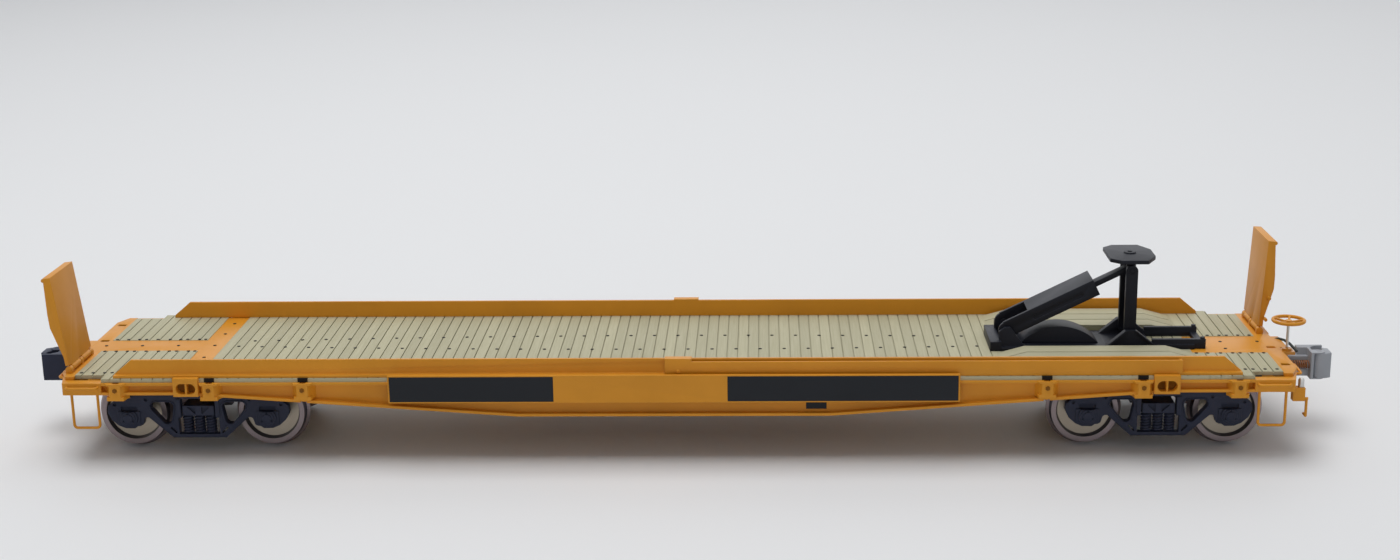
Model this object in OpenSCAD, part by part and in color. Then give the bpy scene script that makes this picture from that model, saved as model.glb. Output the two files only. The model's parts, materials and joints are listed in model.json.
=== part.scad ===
// Model freight car: a four-axle piggyback flat car with a wooden deck, guard rails,
// folding bridge plates and a collapsible trailer hitch.
// X runs along the car, with the brake end at +X. Y runs across it and Z points up.
// Heights are measured from the rail top. Every node is lifted by the wheel flange's depth,
// so that the flanges stand on Z = 0.

/* [Body] */
// Length of the body over the end sills
body_len = 313.6; // [260:0.1:380]
// Width over the flanges of the side sills
sill_w = 59.6; // [57:0.1:66]
// Height of the deck boards' top above the rail
deck_top = 21.7; // [21:0.1:23]
// Distance from the end of the body to the truck centre
truck_in = 33.8; // [31:0.1:38]
// Depth of the side sill in the middle of the car
belly_depth = 9.1; // [7:0.1:10]
// Depth of the side sill at its ends
sill_depth = 3.2; // [2.6:0.1:3.6]
// Length of the level part of the side sill's lower edge
belly_flat = 78.8; // [40:0.1:120]

/* [Stake pockets] */
// Distance from the end of the body to the first stake pocket
pocket_in = 15.8; // [15:0.1:19]
// Distance from one stake pocket to the next
pocket_pitch = 23.8; // [20:0.1:26]
// Width of a stake pocket at the side sill
pocket_w = 7; // [6:0.1:8]

/* [Deck] */
// Thickness of the deck boards
board_t = 1; // [0.8:0.05:1.4]
// Distance that the deck boards stay inside the side sill's flange
deck_in = 0.5; // [0.2:0.05:1]
// Distance from one board to the next
board_pitch = 2.735; // [2.4:0.005:3.4]
// Width of the groove between two boards
groove_w = 0.24; // [0.16:0.02:0.4]
// Depth of the groove between two boards
groove_d = 0.35; // [0.2:0.05:0.6]
// Height of the raised wheel planks beside the hitch
plank_h = 1.9; // [1.4:0.1:2.4]

/* [Guard rails] */
// Distance from the deck's side to the guard rail's web
rail_in = 1.8; // [1.5:0.1:3]
// Height of a guard rail above the deck
rail_h = 4.4; // [3.4:0.1:5.4]
// Distance from the end of the body to the guard rail's foot
rail_end = 15; // [14:0.1:25]
// Thickness of the guard rail's web
rail_t = 0.8; // [0.6:0.05:1]

/* [Name boards] */
// Distance from the plain board to the nearest stake pocket
board_gap = 21.7; // [6:0.1:30]
// Height of the plain board on each side
board_h = 7.2; // [6:0.1:8]

/* [Bridge plates] */
// Width of a bridge plate
plate_w = 17; // [14:0.1:18]
// Length of a bridge plate from its hinge to its lip
plate_len = 24.4; // [18:0.1:28]
// Distance from the car's middle line to a bridge plate
plate_y = 7.2; // [6.5:0.1:8]
// Depth of the bridge plate's side flanges at their deepest
plate_flange = 2; // [1.2:0.1:2.6]
// Outward lean of the plate at the plain end, in degrees
lean_a = 7; // [0:0.5:10]
// Outward lean of the plate at the brake end, in degrees
lean_b = 3; // [0:0.5:10]

/* [Trailer hitch] */
// Distance from the end of the body to the hitch post
hitch_in = 38.8; // [38:0.1:46]
// Length of the hitch post between its two pivots
post_len = 17.4; // [15:0.1:20]
// Distance from the strut's pivot to the post's pivot, along the car
strut_back = 31.8; // [30:0.1:34]
// Width of the hitch base
hitch_w = 16; // [15:0.1:17]
// Length of the fifth-wheel plate
head_len = 12; // [10:0.1:13]
// Width of the fifth-wheel plate
head_w = 17; // [13:0.1:19]
// Radius of the kingpin socket
kingpin_r = 0.65; // [0.5:0.01:0.8]

/* [Trucks] */
// Distance between the axles of a truck
wheelbase = 36; // [34:0.1:38]
// Length of a truck side frame past each axle
frame_past = 6; // [5:0.1:7]
// Height of the side frame above the axle
frame_up = 6.4; // [6:0.1:6.6]
// Depth of the side frame below the axle
frame_down = 5.5; // [5.1:0.1:6]
// Thickness of a side frame
frame_t = 2; // [1.8:0.05:2.2]

/* [Wheelsets] */
// Diameter of the wheel at the tread
wheel_d = 17.46; // [16.6:0.02:17.8]
// Depth of the wheel flange below the tread
flange_h = 0.9; // [0.6:0.05:1.1]
// Distance between the backs of the two wheels
back_to_back = 28.6; // [28:0.05:29]
// Width of a wheel over tread and flange
wheel_w = 3; // [2.8:0.05:4]
// Radius of the axle
axle_r = 1.4; // [1:0.05:1.6]
// Radius of the journal at the axle's end
journal_r = 0.8; // [0.6:0.05:0.9]

/* [Couplers] */
// Height of the coupler's middle above the rail
coupler_z = 16.4; // [16:0.1:16.8]
// Distance from the coupler's pivot to its pulling face
coupler_len = 21.8; // [20:0.1:24]
// Height of the coupler head
coupler_h = 7.2; // [6:0.1:7.6]

/* [Fittings] */
// Diameter of the hand brake wheel
brake_wheel_d = 8.7; // [7:0.1:10]
// Height of the hand brake wheel above the rail
brake_wheel_z = 29.6; // [27:0.1:32]
// Width of a sill step
step_w = 7.3; // [6:0.1:8]
// Height of a sill step's tread above the rail
step_z = 8.5; // [7:0.1:11]
// Diameter of the wire of steps, grab irons and levers
wire_d = 0.7; // [0.5:0.05:0.8]

/* [Hidden] */
$fn = 64;

// Colours
orange = [0.80, 0.47, 0.10];
olive = [0.66, 0.64, 0.47];
black = [0.10, 0.10, 0.12];
steel = [0.68, 0.64, 0.60];
grey = [0.42, 0.45, 0.46];
copper = [0.62, 0.36, 0.20];

// Overrun of a cut past the face it starts from
over = 1;
// A rounded corner stands this far past the straight sides, so that the two cross
corner_lap = 0.001;
// Running clearance of a pin in its bore
pin_gap = 0.05;
// Clearance between pieces that slide past each other
slide_gap = 0.1;
// Gap between neighbours that stay apart
seat_gap = 0.3;

// Heights of the body
end_x = body_len / 2;
tc = end_x - truck_in;
sill_top = deck_top - board_t;
sill_low = sill_top - belly_depth;
sill_end_low = sill_top - sill_depth;
sill_y = sill_w / 2;

// Side sill section
sill_web_t = 1.2;
sill_flange_t = 0.7;
sill_flange_out = 1.6;
sill_flange_in = 0.8;
sill_web_y = sill_y - sill_flange_out;
sill_in_y = sill_web_y - sill_web_t;

// Corner castings and end sills
corner_len = pocket_in - pocket_w / 2 - seat_gap;
corner_x = end_x - corner_len;
corner_chamfer = [2.1, 7.4];
end_beam_t = 4.2;
striker_w = 10;
striker_out = 2;
// Two slots in the steel plate at each end
end_slot = [2.2, 1.5];
end_slot_in = 2.2;
end_slot_y = [-19.7, -4.8];
striker_low = 4.2;
striker_mouth = [7.6, 5.2];

// Stake pockets: front stands proud of the flange
pocket_count = 3;
pocket_x = [for (i = [0 : pocket_count - 1]) end_x - pocket_in - i * pocket_pitch];
pocket_out = 1.05;
pocket_drop = 1.2;
pocket_cap_t = 0.5;
pocket_foot_t = 0.9;
// Half widths of the cap, shaft and foot at the web and at the front, as shares of the pocket's width
pocket_cap_shares = [0.5, 0.3];
pocket_shaft_shares = [0.42, 0.195];
pocket_foot_shares = [0.36, 0.31];
stake_slot = [1.6, 1.3];
stake_slot_in = 0.65;
pocket_bolt_r = 0.36;
pocket_bolt_d = 0.5;
pocket_bolt_drop = 1.7;

// Bolster end castings, each with a rope hole parted by a bar
rope_block_w = 6.4;
rope_block_out = 0.9;
rope_block_up = 0.4;
rope_block_down = 0.15;
rope_hole_w = 5;
rope_hole_h = 2.8;
rope_hole_d = 2.1;
rope_hole_up = 0.25;
rope_bar = 0.5;
rope_bar_in = 0.4;

// Centre sill, bolsters and cross bearers
centre_w = 12.4;
centre_web_t = 1.2;
centre_flange_out = 1.6;
centre_depth = 10;
centre_end_depth = 3.4;
bolster_w = 6;
bolster_end_depth = 2.9;
boss_r = 4.6;
bearer_t = 1;
bearer_count = 7;
bearer_pitch = 2 * tc / (bearer_count + 1);
bearer_end_depth = 3.4;
bearer_root_depth = 7;

// Kingpin of a truck
king_r = 1.2;
king_head_r = 2.3;
king_head_t = 0.9;
king_bite = 2.6;

// Deck layout along the car
deck_w = sill_w - 2 * deck_in;
hitch_x = end_x - hitch_in;
hitch_clear = 15.3;
end_plate_len = 4.3;
patch_end = end_x - end_plate_len;
strip_w = 6;
strip_side = 0.7;
strip_out = tc + strip_side + strip_w / 2;
strip_in = strip_out - strip_w;
plank_len = 50.2;
plank_ramp = 7;
plank_end = hitch_x + hitch_clear;
plank_in = 9.4;
plank_count = 3;
plank_gap = 0.25;
strip_half_a = 4.8;
strip_near_b = 9.8;
strip_far_b = 5;
patch_in = 3.8;
patch_out_w = sill_w - 2 * patch_in;
plate_drop = 0.1;
notch_gap = 0.2;
plate_lip_r = 0.5;
strip_end_in = 2.4;

// Guard rails
rail_y = deck_w / 2 - rail_in;
rail_len = body_len - 2 * rail_end;
plank_side = 0.8;
plank_w = (rail_y - rail_t - plank_side - plank_in) / plank_count;
rail_foot_t = 0.7;
rail_foot_w = 2.2;
rail_foot_y = rail_y - rail_t + rail_foot_w;
rail_slope = 4.4;
cover_past = 8.9;
cover_start = -2;
cover_x = [cover_start, hitch_x + cover_past];
cover_t = 0.8;
cover_drop = 0.55;
joint_len = 6.8;
joint_up = 0.3;
joint_t = 0.7;
lug_r = 0.45;
lug_len = 0.5;

// Name boards and their two black panels
name_t = 1;
name_up = 1;
panel_t = 0.2;
panel_edge = 0.35;
board_len = 2 * (pocket_x[pocket_count - 1] - board_gap);
panel_shares = [[-0.497, -0.209], [0.096, 0.497]];
panel_x = panel_shares * board_len;

// Bridge plates
plate_t = 0.8;
plate_side_t = 0.7;
plate_lip = 0.5;
plate_hinge_in = 2.2;
plate_hinge_up = 0.95;
hinge_r = 0.85;
hinge_pin_r = 0.4;
hinge_start = 1.1;
hinge_lug_w = 1.6;
hinge_gap = 0.3;
hinge_x = end_x - plate_hinge_in;
hinge_z = sill_top + board_t - plate_drop + plate_hinge_up;
plate_lugs = [[0.13, 0.3], [0.37, 0.45]];
plate_lug_out = 0.9;
plate_lip_share = 0.55;
plate_flange_shares = [[0, 0.1], [0.1, 0.1], [0.46, 1], [0.62, 0.95], [1, plate_lip_share]];

// Trailer hitch
base_t = 0.8;
base_top = deck_top + base_t;
post_up = 3;
strut_pivot_up = 4.7;
post_z = deck_top + post_up;
strut_z = deck_top + strut_pivot_up;
strut_x = hitch_x - strut_back;
head_z = post_z + post_len;
strut_rise = atan2(head_z - strut_z, strut_back);
strut_reach = sqrt(pow(head_z - strut_z, 2) + pow(strut_back, 2));
base_back = 4.6;
base_front = 5.6;
base_pad = [2.8, 1.7];
hitch_pin_r = 0.7;
strut_half = 4.9;
strut_web_t = 1;
strut_up = 2.4;
strut_down = 1.9;
strut_top_t = 0.7;
strut_round = 2.2;
strut_cover_start = 7;
strut_len = 25.5;
strut_mouth_t = 1.2;
strut_slot_w = 1.2;
strut_slot_x = [8, 21];
strut_slot_d = 0.35;
strut_lug_t = 1.1;
rod_w = 3;
rod_h = 1.4;
rod_start = 8;
rod_nose_gap = 0.1;
post_half = 4.8;
post_leg_t = 1.4;
post_d = 3;
post_web_t = 0.5;
post_web_low = 2.4;
post_round = 1.45;
gusset_t = 1;
gusset_back = 6.4;
gusset_front = 6.6;
gusset_up = 1.9;
gusset_lip_t = 0.45;
gusset_lip_w = 0.8;
track_len = 19.4;
track_h = 2.5;
track_t = 1.2;
track_start = 3;
track_ledge = 0.6;
track_bar = [1.8, 1.1];
track_knob_r = 0.75;
track_knob_h = 0.5;
saddle_w = 7;
saddle_h = 4.5;
saddle_chord = 20.3;
saddle_x = 18;
head_t = 1;
head_drop = 2.8;
head_lug = [1.9, 2.9];
head_lug_r = 1.2;
head_edge = 2.6;
head_boss_r = 1.6;
head_boss_h = 0.35;
head_nose_share = 0.42;

// Trucks
axle_z = wheel_d / 2;
frame_len = wheelbase + 2 * frame_past;
frame_clear = 2;
frame_y = back_to_back / 2 + wheel_w + frame_clear;
seat_up = 0.45;
seat_z = axle_z + frame_up + seat_up;
cap_r = 2.3;
cap_out = 0.9;
cap_ring_r = 1.75;
cap_step_r = 1.15;
cap_step = 0.3;
cap_bolt_r = 0.22;
cap_bolt_ring = 1.45;
cap_bolts = 3;
box_out = 0.4;
box_half_w = 2.9;
box_up = 1.7;
box_down = 1.9;
roof_half = 2.1;
roof_h = 1.2;
roof_d = 0.7;
frame_hole_r = 0.45;
frame_hole_d = 0.5;
frame_hole_shares = [[0.56, 0.75], [0.9, 0.54]];
guide_w = 1.1;
guide_out = 0.35;
seat_wide = 0.8;
seat_knee = 0.1;
frame_slot_r = 0.26;
truck_plate_r = 4.4;
truck_plate_h = 0.9;
window_half = 4.5;
window_up = 5;
window_low = 4.6;
bolster_half = 4.1;
bolster_up = 3.1;
bolster_low = 0.4;
bolster_belly = 2.4;
bolster_belly_y = 11;
bolster_pocket = [2.9, 1.9, 0.6];
bolster_rib_share = 0.28;
spring_r = 1.42;
spring_core_r = 0.95;
spring_coils = 5;
spring_pitch = 2.95;
spring_row = 3;
frame_fillet = 1.2;
// Right half of the side frame's outline: shares of half its length, and of its height above
// (positive) or depth below (negative) the axle
frame_shares = [
    [0, 1], [0.44, 1], [0.7, 0.92], [0.89, 0.74], [0.975, 0.48], [0.985, 0.2], [0.945, -0.12],
    [0.875, -0.4], [0.8, -0.54], [0.7, -0.55], [0.665, -0.44], [0.635, -0.43], [0.607, -0.36],
    [0.597, -0.2], [0.585, -0.05], [0.565, 0], [0.54, 0], [0.2875, -1], [0, -1]
];
// Corners of the triangular window and ends of the slot below it, as the same shares
frame_window_shares = [[0.465, 0.46], [0.315, 0.45], [0.342, -0.1]];
frame_slot_shares = [[0.304, -0.53], [0.254, -0.745]];

// Wheels
wheel_r = wheel_d / 2;
wheel_out = back_to_back / 2 + wheel_w;
flange_t = 0.95;
tread_taper = 0.16;
rim_t = 1.3;
rim_slope = 0.42;
disc_step = 1.5;
hub_r = 2.2;
hub_out = 0.9;
disc_t = 2.2;
journal_len = 3.5;

// Couplers
pull_out = 13.8;
coupler_pivot = end_x + pull_out - coupler_len;
shank_w = 3.2;
shank_h = 3.4;
eye_r = 2.4;
draw_pin_r = 0.9;
box_len = 11.4;
box_half = 5.4;
box_wall = 1;
box_high = 1.9;
box_gap = 0.3;
head_back = 5.4;
head_half = 4.9;
guard_out = 2.5;
guard_back = 2.5;
guard_short = 1;
shelf_len = 4.6;
shelf_out = 3.1;
shelf_z = [-3.2, -1.35];
knuckle_r = 1.5;
knuckle_in = 3.1;
knuckle_y = 3.4;
knuckle_hook = 1.5;
knuckle_h_share = 0.93;
knuckle_pin_r = 0.5;
coil_r = 1.15;
coil_core_r = 0.75;
coil_up = 0.05;
coil_count = 8;
coil_len = 5;
coil_y = 3.4;

// Brake gear under the frame
reservoir = [3.2, 15];
cylinder = [2.7, 9];
valve = [6, 4, 5];
gear_y = 12.5;
gear_x = [1, -1, 1] * bearer_pitch / 2;
gear_strap = [1.2, 0.8];

// Brake staff and wheel
staff_r = 0.35;
staff_y = -7.5;
staff_out = 1.2;
staff_low = 14;
staff_foot = [3.4, 4, 0.7];
ratchet_r = 1.2;
ratchet_t = 0.6;
brake_rim_r = 0.45;
brake_hub_r = 0.85;
brake_hub_h = 1;
brake_spokes = 5;
brake_spoke_w = 0.55;
brake_dish = 0.45;

// Wire fittings
step_in = 3.6;
step_side = 0.8;
step_y = sill_y - step_side;
step_bend = 0.9;
grab_z = 1.1;
grab_out = 1.15;
grab_len = 8.6;
end_grab_y = 17.2;
end_grab_len = 8.6;
end_grab_in = 0;
end_grab_out = 1.6;
lever_side = 4.2;
lever_y = sill_y - lever_side;
lever_eye = [3, 2.2, 3.4];
lever_low = 4.2;
lever_hook = 1.8;
lever_front = 1.3;
lever_out = 0.7;

// Shared shapes

// A box between two corners, given as a range along each axis
module block(x, y, z)
    translate([x[0], y[0], z[0]]) cube([x[1] - x[0], y[1] - y[0], z[1] - z[0]]);

// Its children's outline in X and Z, drawn out from one Y to another
module along_y(from, to)
    translate([0, to, 0]) rotate([90, 0, 0]) linear_extrude(to - from) children();

// Its children's outline in Y and Z, drawn out from one X to another
module along_x(from, to)
    translate([from, 0, 0]) rotate([90, 0, 90]) linear_extrude(to - from) children();

// A round bar lying across the car
module bar_y(r, from, to)
    translate([0, to, 0]) rotate([90, 0, 0]) cylinder(r = r, h = to - from);

// A round bar lying along the car
module bar_x(r, from, to)
    translate([from, 0, 0]) rotate([0, 90, 0]) cylinder(r = r, h = to - from);

// Its children once on each side of the car
module both_sides() {
    children();
    mirror([0, 1, 0]) children();
}

// Its children once at each end of the car, turned half round
module both_ends() {
    children();
    rotate([0, 0, 180]) children();
}

// Its children raised so that the wheel flanges stand on the floor
module on_rail()
    translate([0, 0, flange_h]) children();

// A convex outline, its points given anticlockwise, grown by a radius with true round corners
module rounded(points, r) {
    count = len(points);
    polygon([
        for (i = [0 : count - 1])
            let (a = points[i], b = points[(i + 1) % count], run = b - a, long = norm(run))
                each [a + [run[1], -run[0]] * r / long, b + [run[1], -run[0]] * r / long]
    ]);
    for (p = points) translate(p) circle(r + corner_lap);
}

// Height of a fish-bellied edge at a place along the car
function belly(x, low, high) =
    let (from = belly_flat / 2)
        abs(x) <= from ? low : abs(x) >= tc ? high : low + (high - low) * (abs(x) - from) / (tc - from);

// A wire bent to a U: two legs from a height down to the tread, in the X and Z plane
module wire_u(half, top, low, bend) {
    r = wire_d / 2;
    for (s = [-1, 1]) {
        translate([s * half, 0, low + bend]) cylinder(r = r, h = top - low - bend);
        translate([s * (half - bend), 0, low + bend]) rotate([90, 0, 0])
            rotate_extrude(angle = 90, start = s > 0 ? 270 : 180) translate([bend, 0]) circle(r);
    }
    translate([0, 0, low]) bar_x(r, bend - half, half - bend);
}

// Body

// Lower edge of a fish-bellied beam from one end to the other
function belly_path(half, low, high) =
    [[half, high], [tc, high], [belly_flat / 2, low], [-belly_flat / 2, low], [-tc, high], [-half, high]];

// A band of even height along that lower edge
module belly_band(half, low, high, t) {
    path = belly_path(half, low, high);
    polygon(concat(path, [for (i = [len(path) - 1 : -1 : 0]) path[i] + [0, t]]));
}

// Plan of one slab of a stake pocket from its two shares
module pocket_plan(shares, front) polygon([
    [-pocket_w * shares[0], sill_web_y], [pocket_w * shares[0], sill_web_y],
    [pocket_w * shares[1], front], [-pocket_w * shares[1], front]
]);

module stake_pocket() {
    front = sill_y + pocket_out;
    low = sill_end_low - pocket_drop;
    difference() {
        for (slab = [
            [pocket_cap_shares, sill_top - pocket_cap_t, sill_top], [pocket_shaft_shares, low, sill_top],
            [pocket_foot_shares, low, low + pocket_foot_t]
        ]) translate([0, 0, slab[1]]) linear_extrude(slab[2] - slab[1]) pocket_plan(slab[0], front);
        block([-stake_slot[0] / 2, stake_slot[0] / 2],
              [front - stake_slot_in - stake_slot[1], front - stake_slot_in],
              [low - over, sill_top + over]);
        translate([0, 0, sill_top - pocket_bolt_drop])
            bar_y(pocket_bolt_r, front - pocket_bolt_d, front + over);
    }
}

module rope_block() {
    front = sill_y + rope_block_out;
    low = sill_end_low - rope_block_down;
    high = deck_top + rope_block_up;
    middle = (sill_top + sill_end_low) / 2 + rope_hole_up;
    run = (rope_hole_w - rope_hole_h) / 2;
    difference() {
        union() {
            block([-rope_block_w / 2, rope_block_w / 2], [sill_web_y, front], [low, deck_top]);
            block([-rope_block_w / 2, rope_block_w / 2], [rail_foot_y + slide_gap, front], [deck_top, high]);
        }
        difference() {
            translate([0, 0, middle]) along_y(front - rope_hole_d, front + over)
                rounded([[-run, 0], [run, 0]], rope_hole_h / 2);
            block([-rope_bar / 2, rope_bar / 2], [front - rope_hole_d - over, front - rope_bar_in], [low, high]);
        }
    }
}

// One side sill on the far side: a channel open outwards with its stake pockets
module side_sill() color(orange) {
    along_y(sill_in_y, sill_web_y)
        polygon(concat([[-corner_x, sill_top], [corner_x, sill_top]],
                       belly_path(corner_x, sill_low, sill_end_low)));
    difference() {
        union() {
            block([-corner_x, corner_x], [sill_web_y, sill_y], [sill_top - sill_flange_t, sill_top]);
            along_y(sill_web_y, sill_y) belly_band(corner_x, sill_low, sill_end_low, sill_flange_t);
            along_y(sill_in_y - sill_flange_in, sill_in_y)
                belly_band(corner_x, sill_low, sill_end_low, sill_flange_t);
        }
        for (s = [-1, 1]) {
            for (x = pocket_x)
                translate([s * x, 0, 0])
                    block([-stake_slot[0] / 2, stake_slot[0] / 2],
                          [sill_y + pocket_out - stake_slot_in - stake_slot[1], sill_y + over],
                          [sill_low - over, sill_top + over]);
            translate([s * tc, 0, 0])
                block([-rope_block_w / 2, rope_block_w / 2], [sill_web_y, sill_y + over],
                      [sill_low - over, sill_top + over]);
        }
    }
    for (s = [-1, 1]) {
        for (x = pocket_x) translate([s * x, 0, 0]) stake_pocket();
        translate([s * tc, 0, 0]) rope_block();
    }
}

// Two fish-bellied webs with outward flanges, parted at the bolsters
module centre_sill() color(orange) {
    low = sill_top - centre_depth;
    high = sill_top - centre_end_depth;
    half = end_x - end_beam_t;
    web_y = centre_w / 2;
    difference() {
        both_sides() {
            along_y(web_y - centre_web_t, web_y)
                polygon(concat([[-half, sill_top], [half, sill_top]], belly_path(half, low, high)));
            along_y(web_y, web_y + centre_flange_out) belly_band(half, low, high, sill_flange_t);
        }
        for (s = [-1, 1]) translate([s * tc, 0, 0]) {
            block([-bolster_w / 2, bolster_w / 2], [-centre_w, centre_w], [low - over, sill_top + over]);
        }
        both_ends() block([coupler_pivot - box_len / 2 - slide_gap, end_x + over], [-centre_w, centre_w],
                          [low - over, coupler_z + box_high + box_wall]);
    }
}

// The body bolsters, each with the round boss that the truck turns on
module body_bolsters() color(orange) {
    end_low = sill_top - bolster_end_depth;
    for (s = [-1, 1]) translate([s * tc, 0, 0]) difference() {
        union() {
            along_x(-bolster_w / 2, bolster_w / 2) polygon([
                [-sill_in_y, sill_top], [-sill_in_y, end_low], [-boss_r, seat_z + truck_plate_h],
                [boss_r, seat_z + truck_plate_h], [sill_in_y, end_low], [sill_in_y, sill_top]
            ]);
            translate([0, 0, seat_z]) cylinder(r = boss_r, h = sill_top - seat_z);
        }
        for (t = [-1, 1]) block([-over - bolster_w, bolster_w + over],
            t > 0 ? [sill_in_y - sill_flange_in, sill_in_y] : [-sill_in_y, sill_flange_in - sill_in_y],
            [sill_end_low - over, sill_end_low + sill_flange_t]);
        translate([0, 0, seat_z - over]) cylinder(r = king_r, h = king_bite + over);
    }
}

// Cross bearers between the centre sill and the side sills
module cross_bearers() color(orange)
    for (i = [0 : bearer_count - 1]) {
        x = (i - (bearer_count - 1) / 2) * bearer_pitch;
        root = centre_w / 2;
        low = belly(x, sill_low, sill_end_low) + sill_flange_t;
        tip = max(low, sill_top - bearer_end_depth);
        both_sides() along_x(x - bearer_t / 2, x + bearer_t / 2) polygon([
            [root, sill_top], [root, max(sill_top - bearer_root_depth,
                                         belly(x, sill_top - centre_depth, sill_top - centre_end_depth)
                                         + sill_flange_t)],
            [sill_in_y, tip], [sill_in_y, sill_top]
        ]);
    }

// One end sill at the +X end: the cross beam, its two corner castings and the striker
module end_sill() color(orange) {
    low = sill_end_low;
    difference() {
        translate([0, 0, low]) linear_extrude(sill_top - low) polygon([
            [end_x - end_beam_t, -sill_in_y], [corner_x, -sill_in_y],
            [corner_x, -sill_y], [end_x - corner_chamfer[0], -sill_y],
            [end_x, -sill_y + corner_chamfer[1]], [end_x, sill_y - corner_chamfer[1]],
            [end_x - corner_chamfer[0], sill_y], [corner_x, sill_y], [corner_x, sill_in_y],
            [end_x - end_beam_t, sill_in_y]
        ]);
        block([end_x - end_beam_t - over, end_x + over], [-striker_w / 2, striker_w / 2],
              [low - over, sill_top + over]);
    }
    difference() {
        block([end_x - end_beam_t, end_x + striker_out], [-striker_w / 2, striker_w / 2],
              [coupler_z - striker_low, sill_top]);
        block([end_x - end_beam_t - over, end_x + striker_out + over],
              [-striker_mouth[0] / 2, striker_mouth[0] / 2],
              [coupler_z - striker_mouth[1] / 2, coupler_z + striker_mouth[1] / 2]);
    }
}

// The two boxes that hold the coupler shanks, each with its draw pin
module draft_boxes() color(black) both_ends() {
    from = coupler_pivot - box_len / 2;
    to = end_x - end_beam_t;
    in_high = shank_h / 2 + box_gap;
    difference() {
        block([from, to], [-box_half, box_half], [coupler_z - box_high - box_wall,
                                                   coupler_z + box_high + box_wall]);
        block([from + box_wall, to + over], [box_wall - box_half, box_half - box_wall],
              [coupler_z - in_high, coupler_z + in_high]);
    }
    translate([coupler_pivot, 0, coupler_z - in_high]) cylinder(r = draw_pin_r, h = 2 * in_high);
}

// The screws that the trucks hang and turn on
module kingpin_screws() color(steel)
    for (s = [-1, 1]) translate([s * tc, 0, 0]) {
        low = axle_z - bolster_belly - king_head_t - slide_gap;
        translate([0, 0, low]) cylinder(r = king_head_r, h = king_head_t);
        translate([0, 0, low]) cylinder(r = king_r, h = seat_z + king_bite - low);
    }

// Deck

// Nearest place to x where two boards meet, in the one pattern that runs along the whole deck
function board_line(x) = -strip_in + round((x + strip_in) / board_pitch) * board_pitch;

// Grooves between boards that lie across the car, over a range of X
module board_grooves(from, to)
    for (x = [from + board_pitch : board_pitch : to - board_pitch / 2])
        block([x - groove_w / 2, x + groove_w / 2], [-deck_w, deck_w],
              [deck_top - groove_d, deck_top + over]);

// Room in the deck's edge for the bolster end castings
module casting_notches()
    for (s = [-1, 1]) translate([s * tc, 0, 0]) both_sides()
        block([-rope_block_w / 2 - notch_gap, rope_block_w / 2 + notch_gap],
              [sill_web_y - notch_gap, deck_w], [sill_top - over, deck_top + over]);

module main_deck() color(olive) difference() {
    block([-strip_in, plank_end], [-deck_w / 2, deck_w / 2], [sill_top, deck_top]);
    board_grooves(-strip_in, plank_end);
    casting_notches();
}

// Outline of one board patch at an end, from an inner edge out to the deck's side
module deck_patch(from, to, inner) translate([0, 0, sill_top]) linear_extrude(board_t) polygon([
    [from, inner], [to, inner], [to, patch_out_w / 2], [corner_x, patch_out_w / 2],
    [corner_x, deck_w / 2], [from, deck_w / 2]
]);

module end_deck() color(olive) difference() {
    union() {
        rotate([0, 0, 180]) both_sides() deck_patch(strip_out, patch_end, strip_half_a);
        deck_patch(plank_end, patch_end, strip_far_b);
        mirror([0, 1, 0]) deck_patch(plank_end, patch_end, strip_near_b);
    }
    board_grooves(board_line(plank_end), patch_end);
    board_grooves(board_line(-patch_end), -strip_out);
    casting_notches();
}

// Steel plates between the board patches, over the centre sill and the plain end's bolster
module deck_plates() color(orange) {
    high = deck_top - plate_drop;
    chamfer_y = sill_y - corner_chamfer[1];
    both_ends() translate([0, 0, sill_top]) linear_extrude(high - sill_top) difference() {
        polygon([
            [patch_end, -sill_in_y], [end_x - corner_chamfer[0], -sill_in_y], [end_x, -chamfer_y],
            [end_x, -striker_w / 2], [end_x + striker_out, -striker_w / 2],
            [end_x + striker_out, striker_w / 2], [end_x, striker_w / 2], [end_x, chamfer_y],
            [end_x - corner_chamfer[0], sill_in_y], [patch_end, sill_in_y]
        ]);
        for (y = end_slot_y) translate([end_x - end_slot_in, y]) square(end_slot, center = true);
    }
    block([plank_end, patch_end], [-strip_near_b, strip_far_b], [sill_top, high]);
    block([-patch_end, -strip_out], [-strip_half_a, strip_half_a], [sill_top, high]);
    block([-strip_out, -strip_in], [-sill_in_y, sill_in_y], [sill_top, high]);
}

// Raised planks that carry a trailer's wheels past the hitch
module wheel_planks() color(olive) {
    from = plank_end - plank_len;
    both_sides() for (i = [0 : plank_count - 1]) {
        y = plank_in + i * plank_w;
        along_y(y, y + plank_w - plank_gap) polygon([
            [from, deck_top], [plank_end, deck_top], [plank_end - plank_ramp, deck_top + plank_h],
            [from + plank_ramp, deck_top + plank_h]
        ]);
    }
}

// One guard rail on the far side: an angle whose longer half has an outer cover plate
module guard_rail() color(orange) {
    half = rail_len / 2;
    foot = deck_top + rail_foot_t;
    high = deck_top + rail_h;
    along_y(rail_y - rail_t, rail_y) polygon([
        [-half, deck_top], [half, deck_top], [half, foot], [half - rail_slope, high],
        [rail_slope - half, high], [-half, foot]
    ]);
    block([-half, half], [rail_y, rail_foot_y], [deck_top, foot]);
    block(cover_x, [rail_foot_y - cover_t, rail_foot_y], [foot, high - cover_drop]);
    block([cover_x[0], cover_x[0] + joint_len], [rail_y - rail_t, rail_foot_y], [high - joint_t, high + joint_up]);
    block([cover_x[1] - joint_t, cover_x[1]], [rail_y, rail_foot_y], [foot, high - cover_drop]);
    translate([cover_x[0] + joint_len / 2, 0, foot + lug_r + joint_up])
        bar_y(lug_r, rail_foot_y, rail_foot_y + lug_len);
}

// Plain boards over the middle of the side sills
module name_boards() color(orange) both_ends() difference() {
    block([-board_len / 2, board_len / 2], [-sill_y - name_t, -sill_y],
          [deck_top + name_up - board_h, deck_top + name_up]);
    name_panel_rooms();
}

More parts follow.
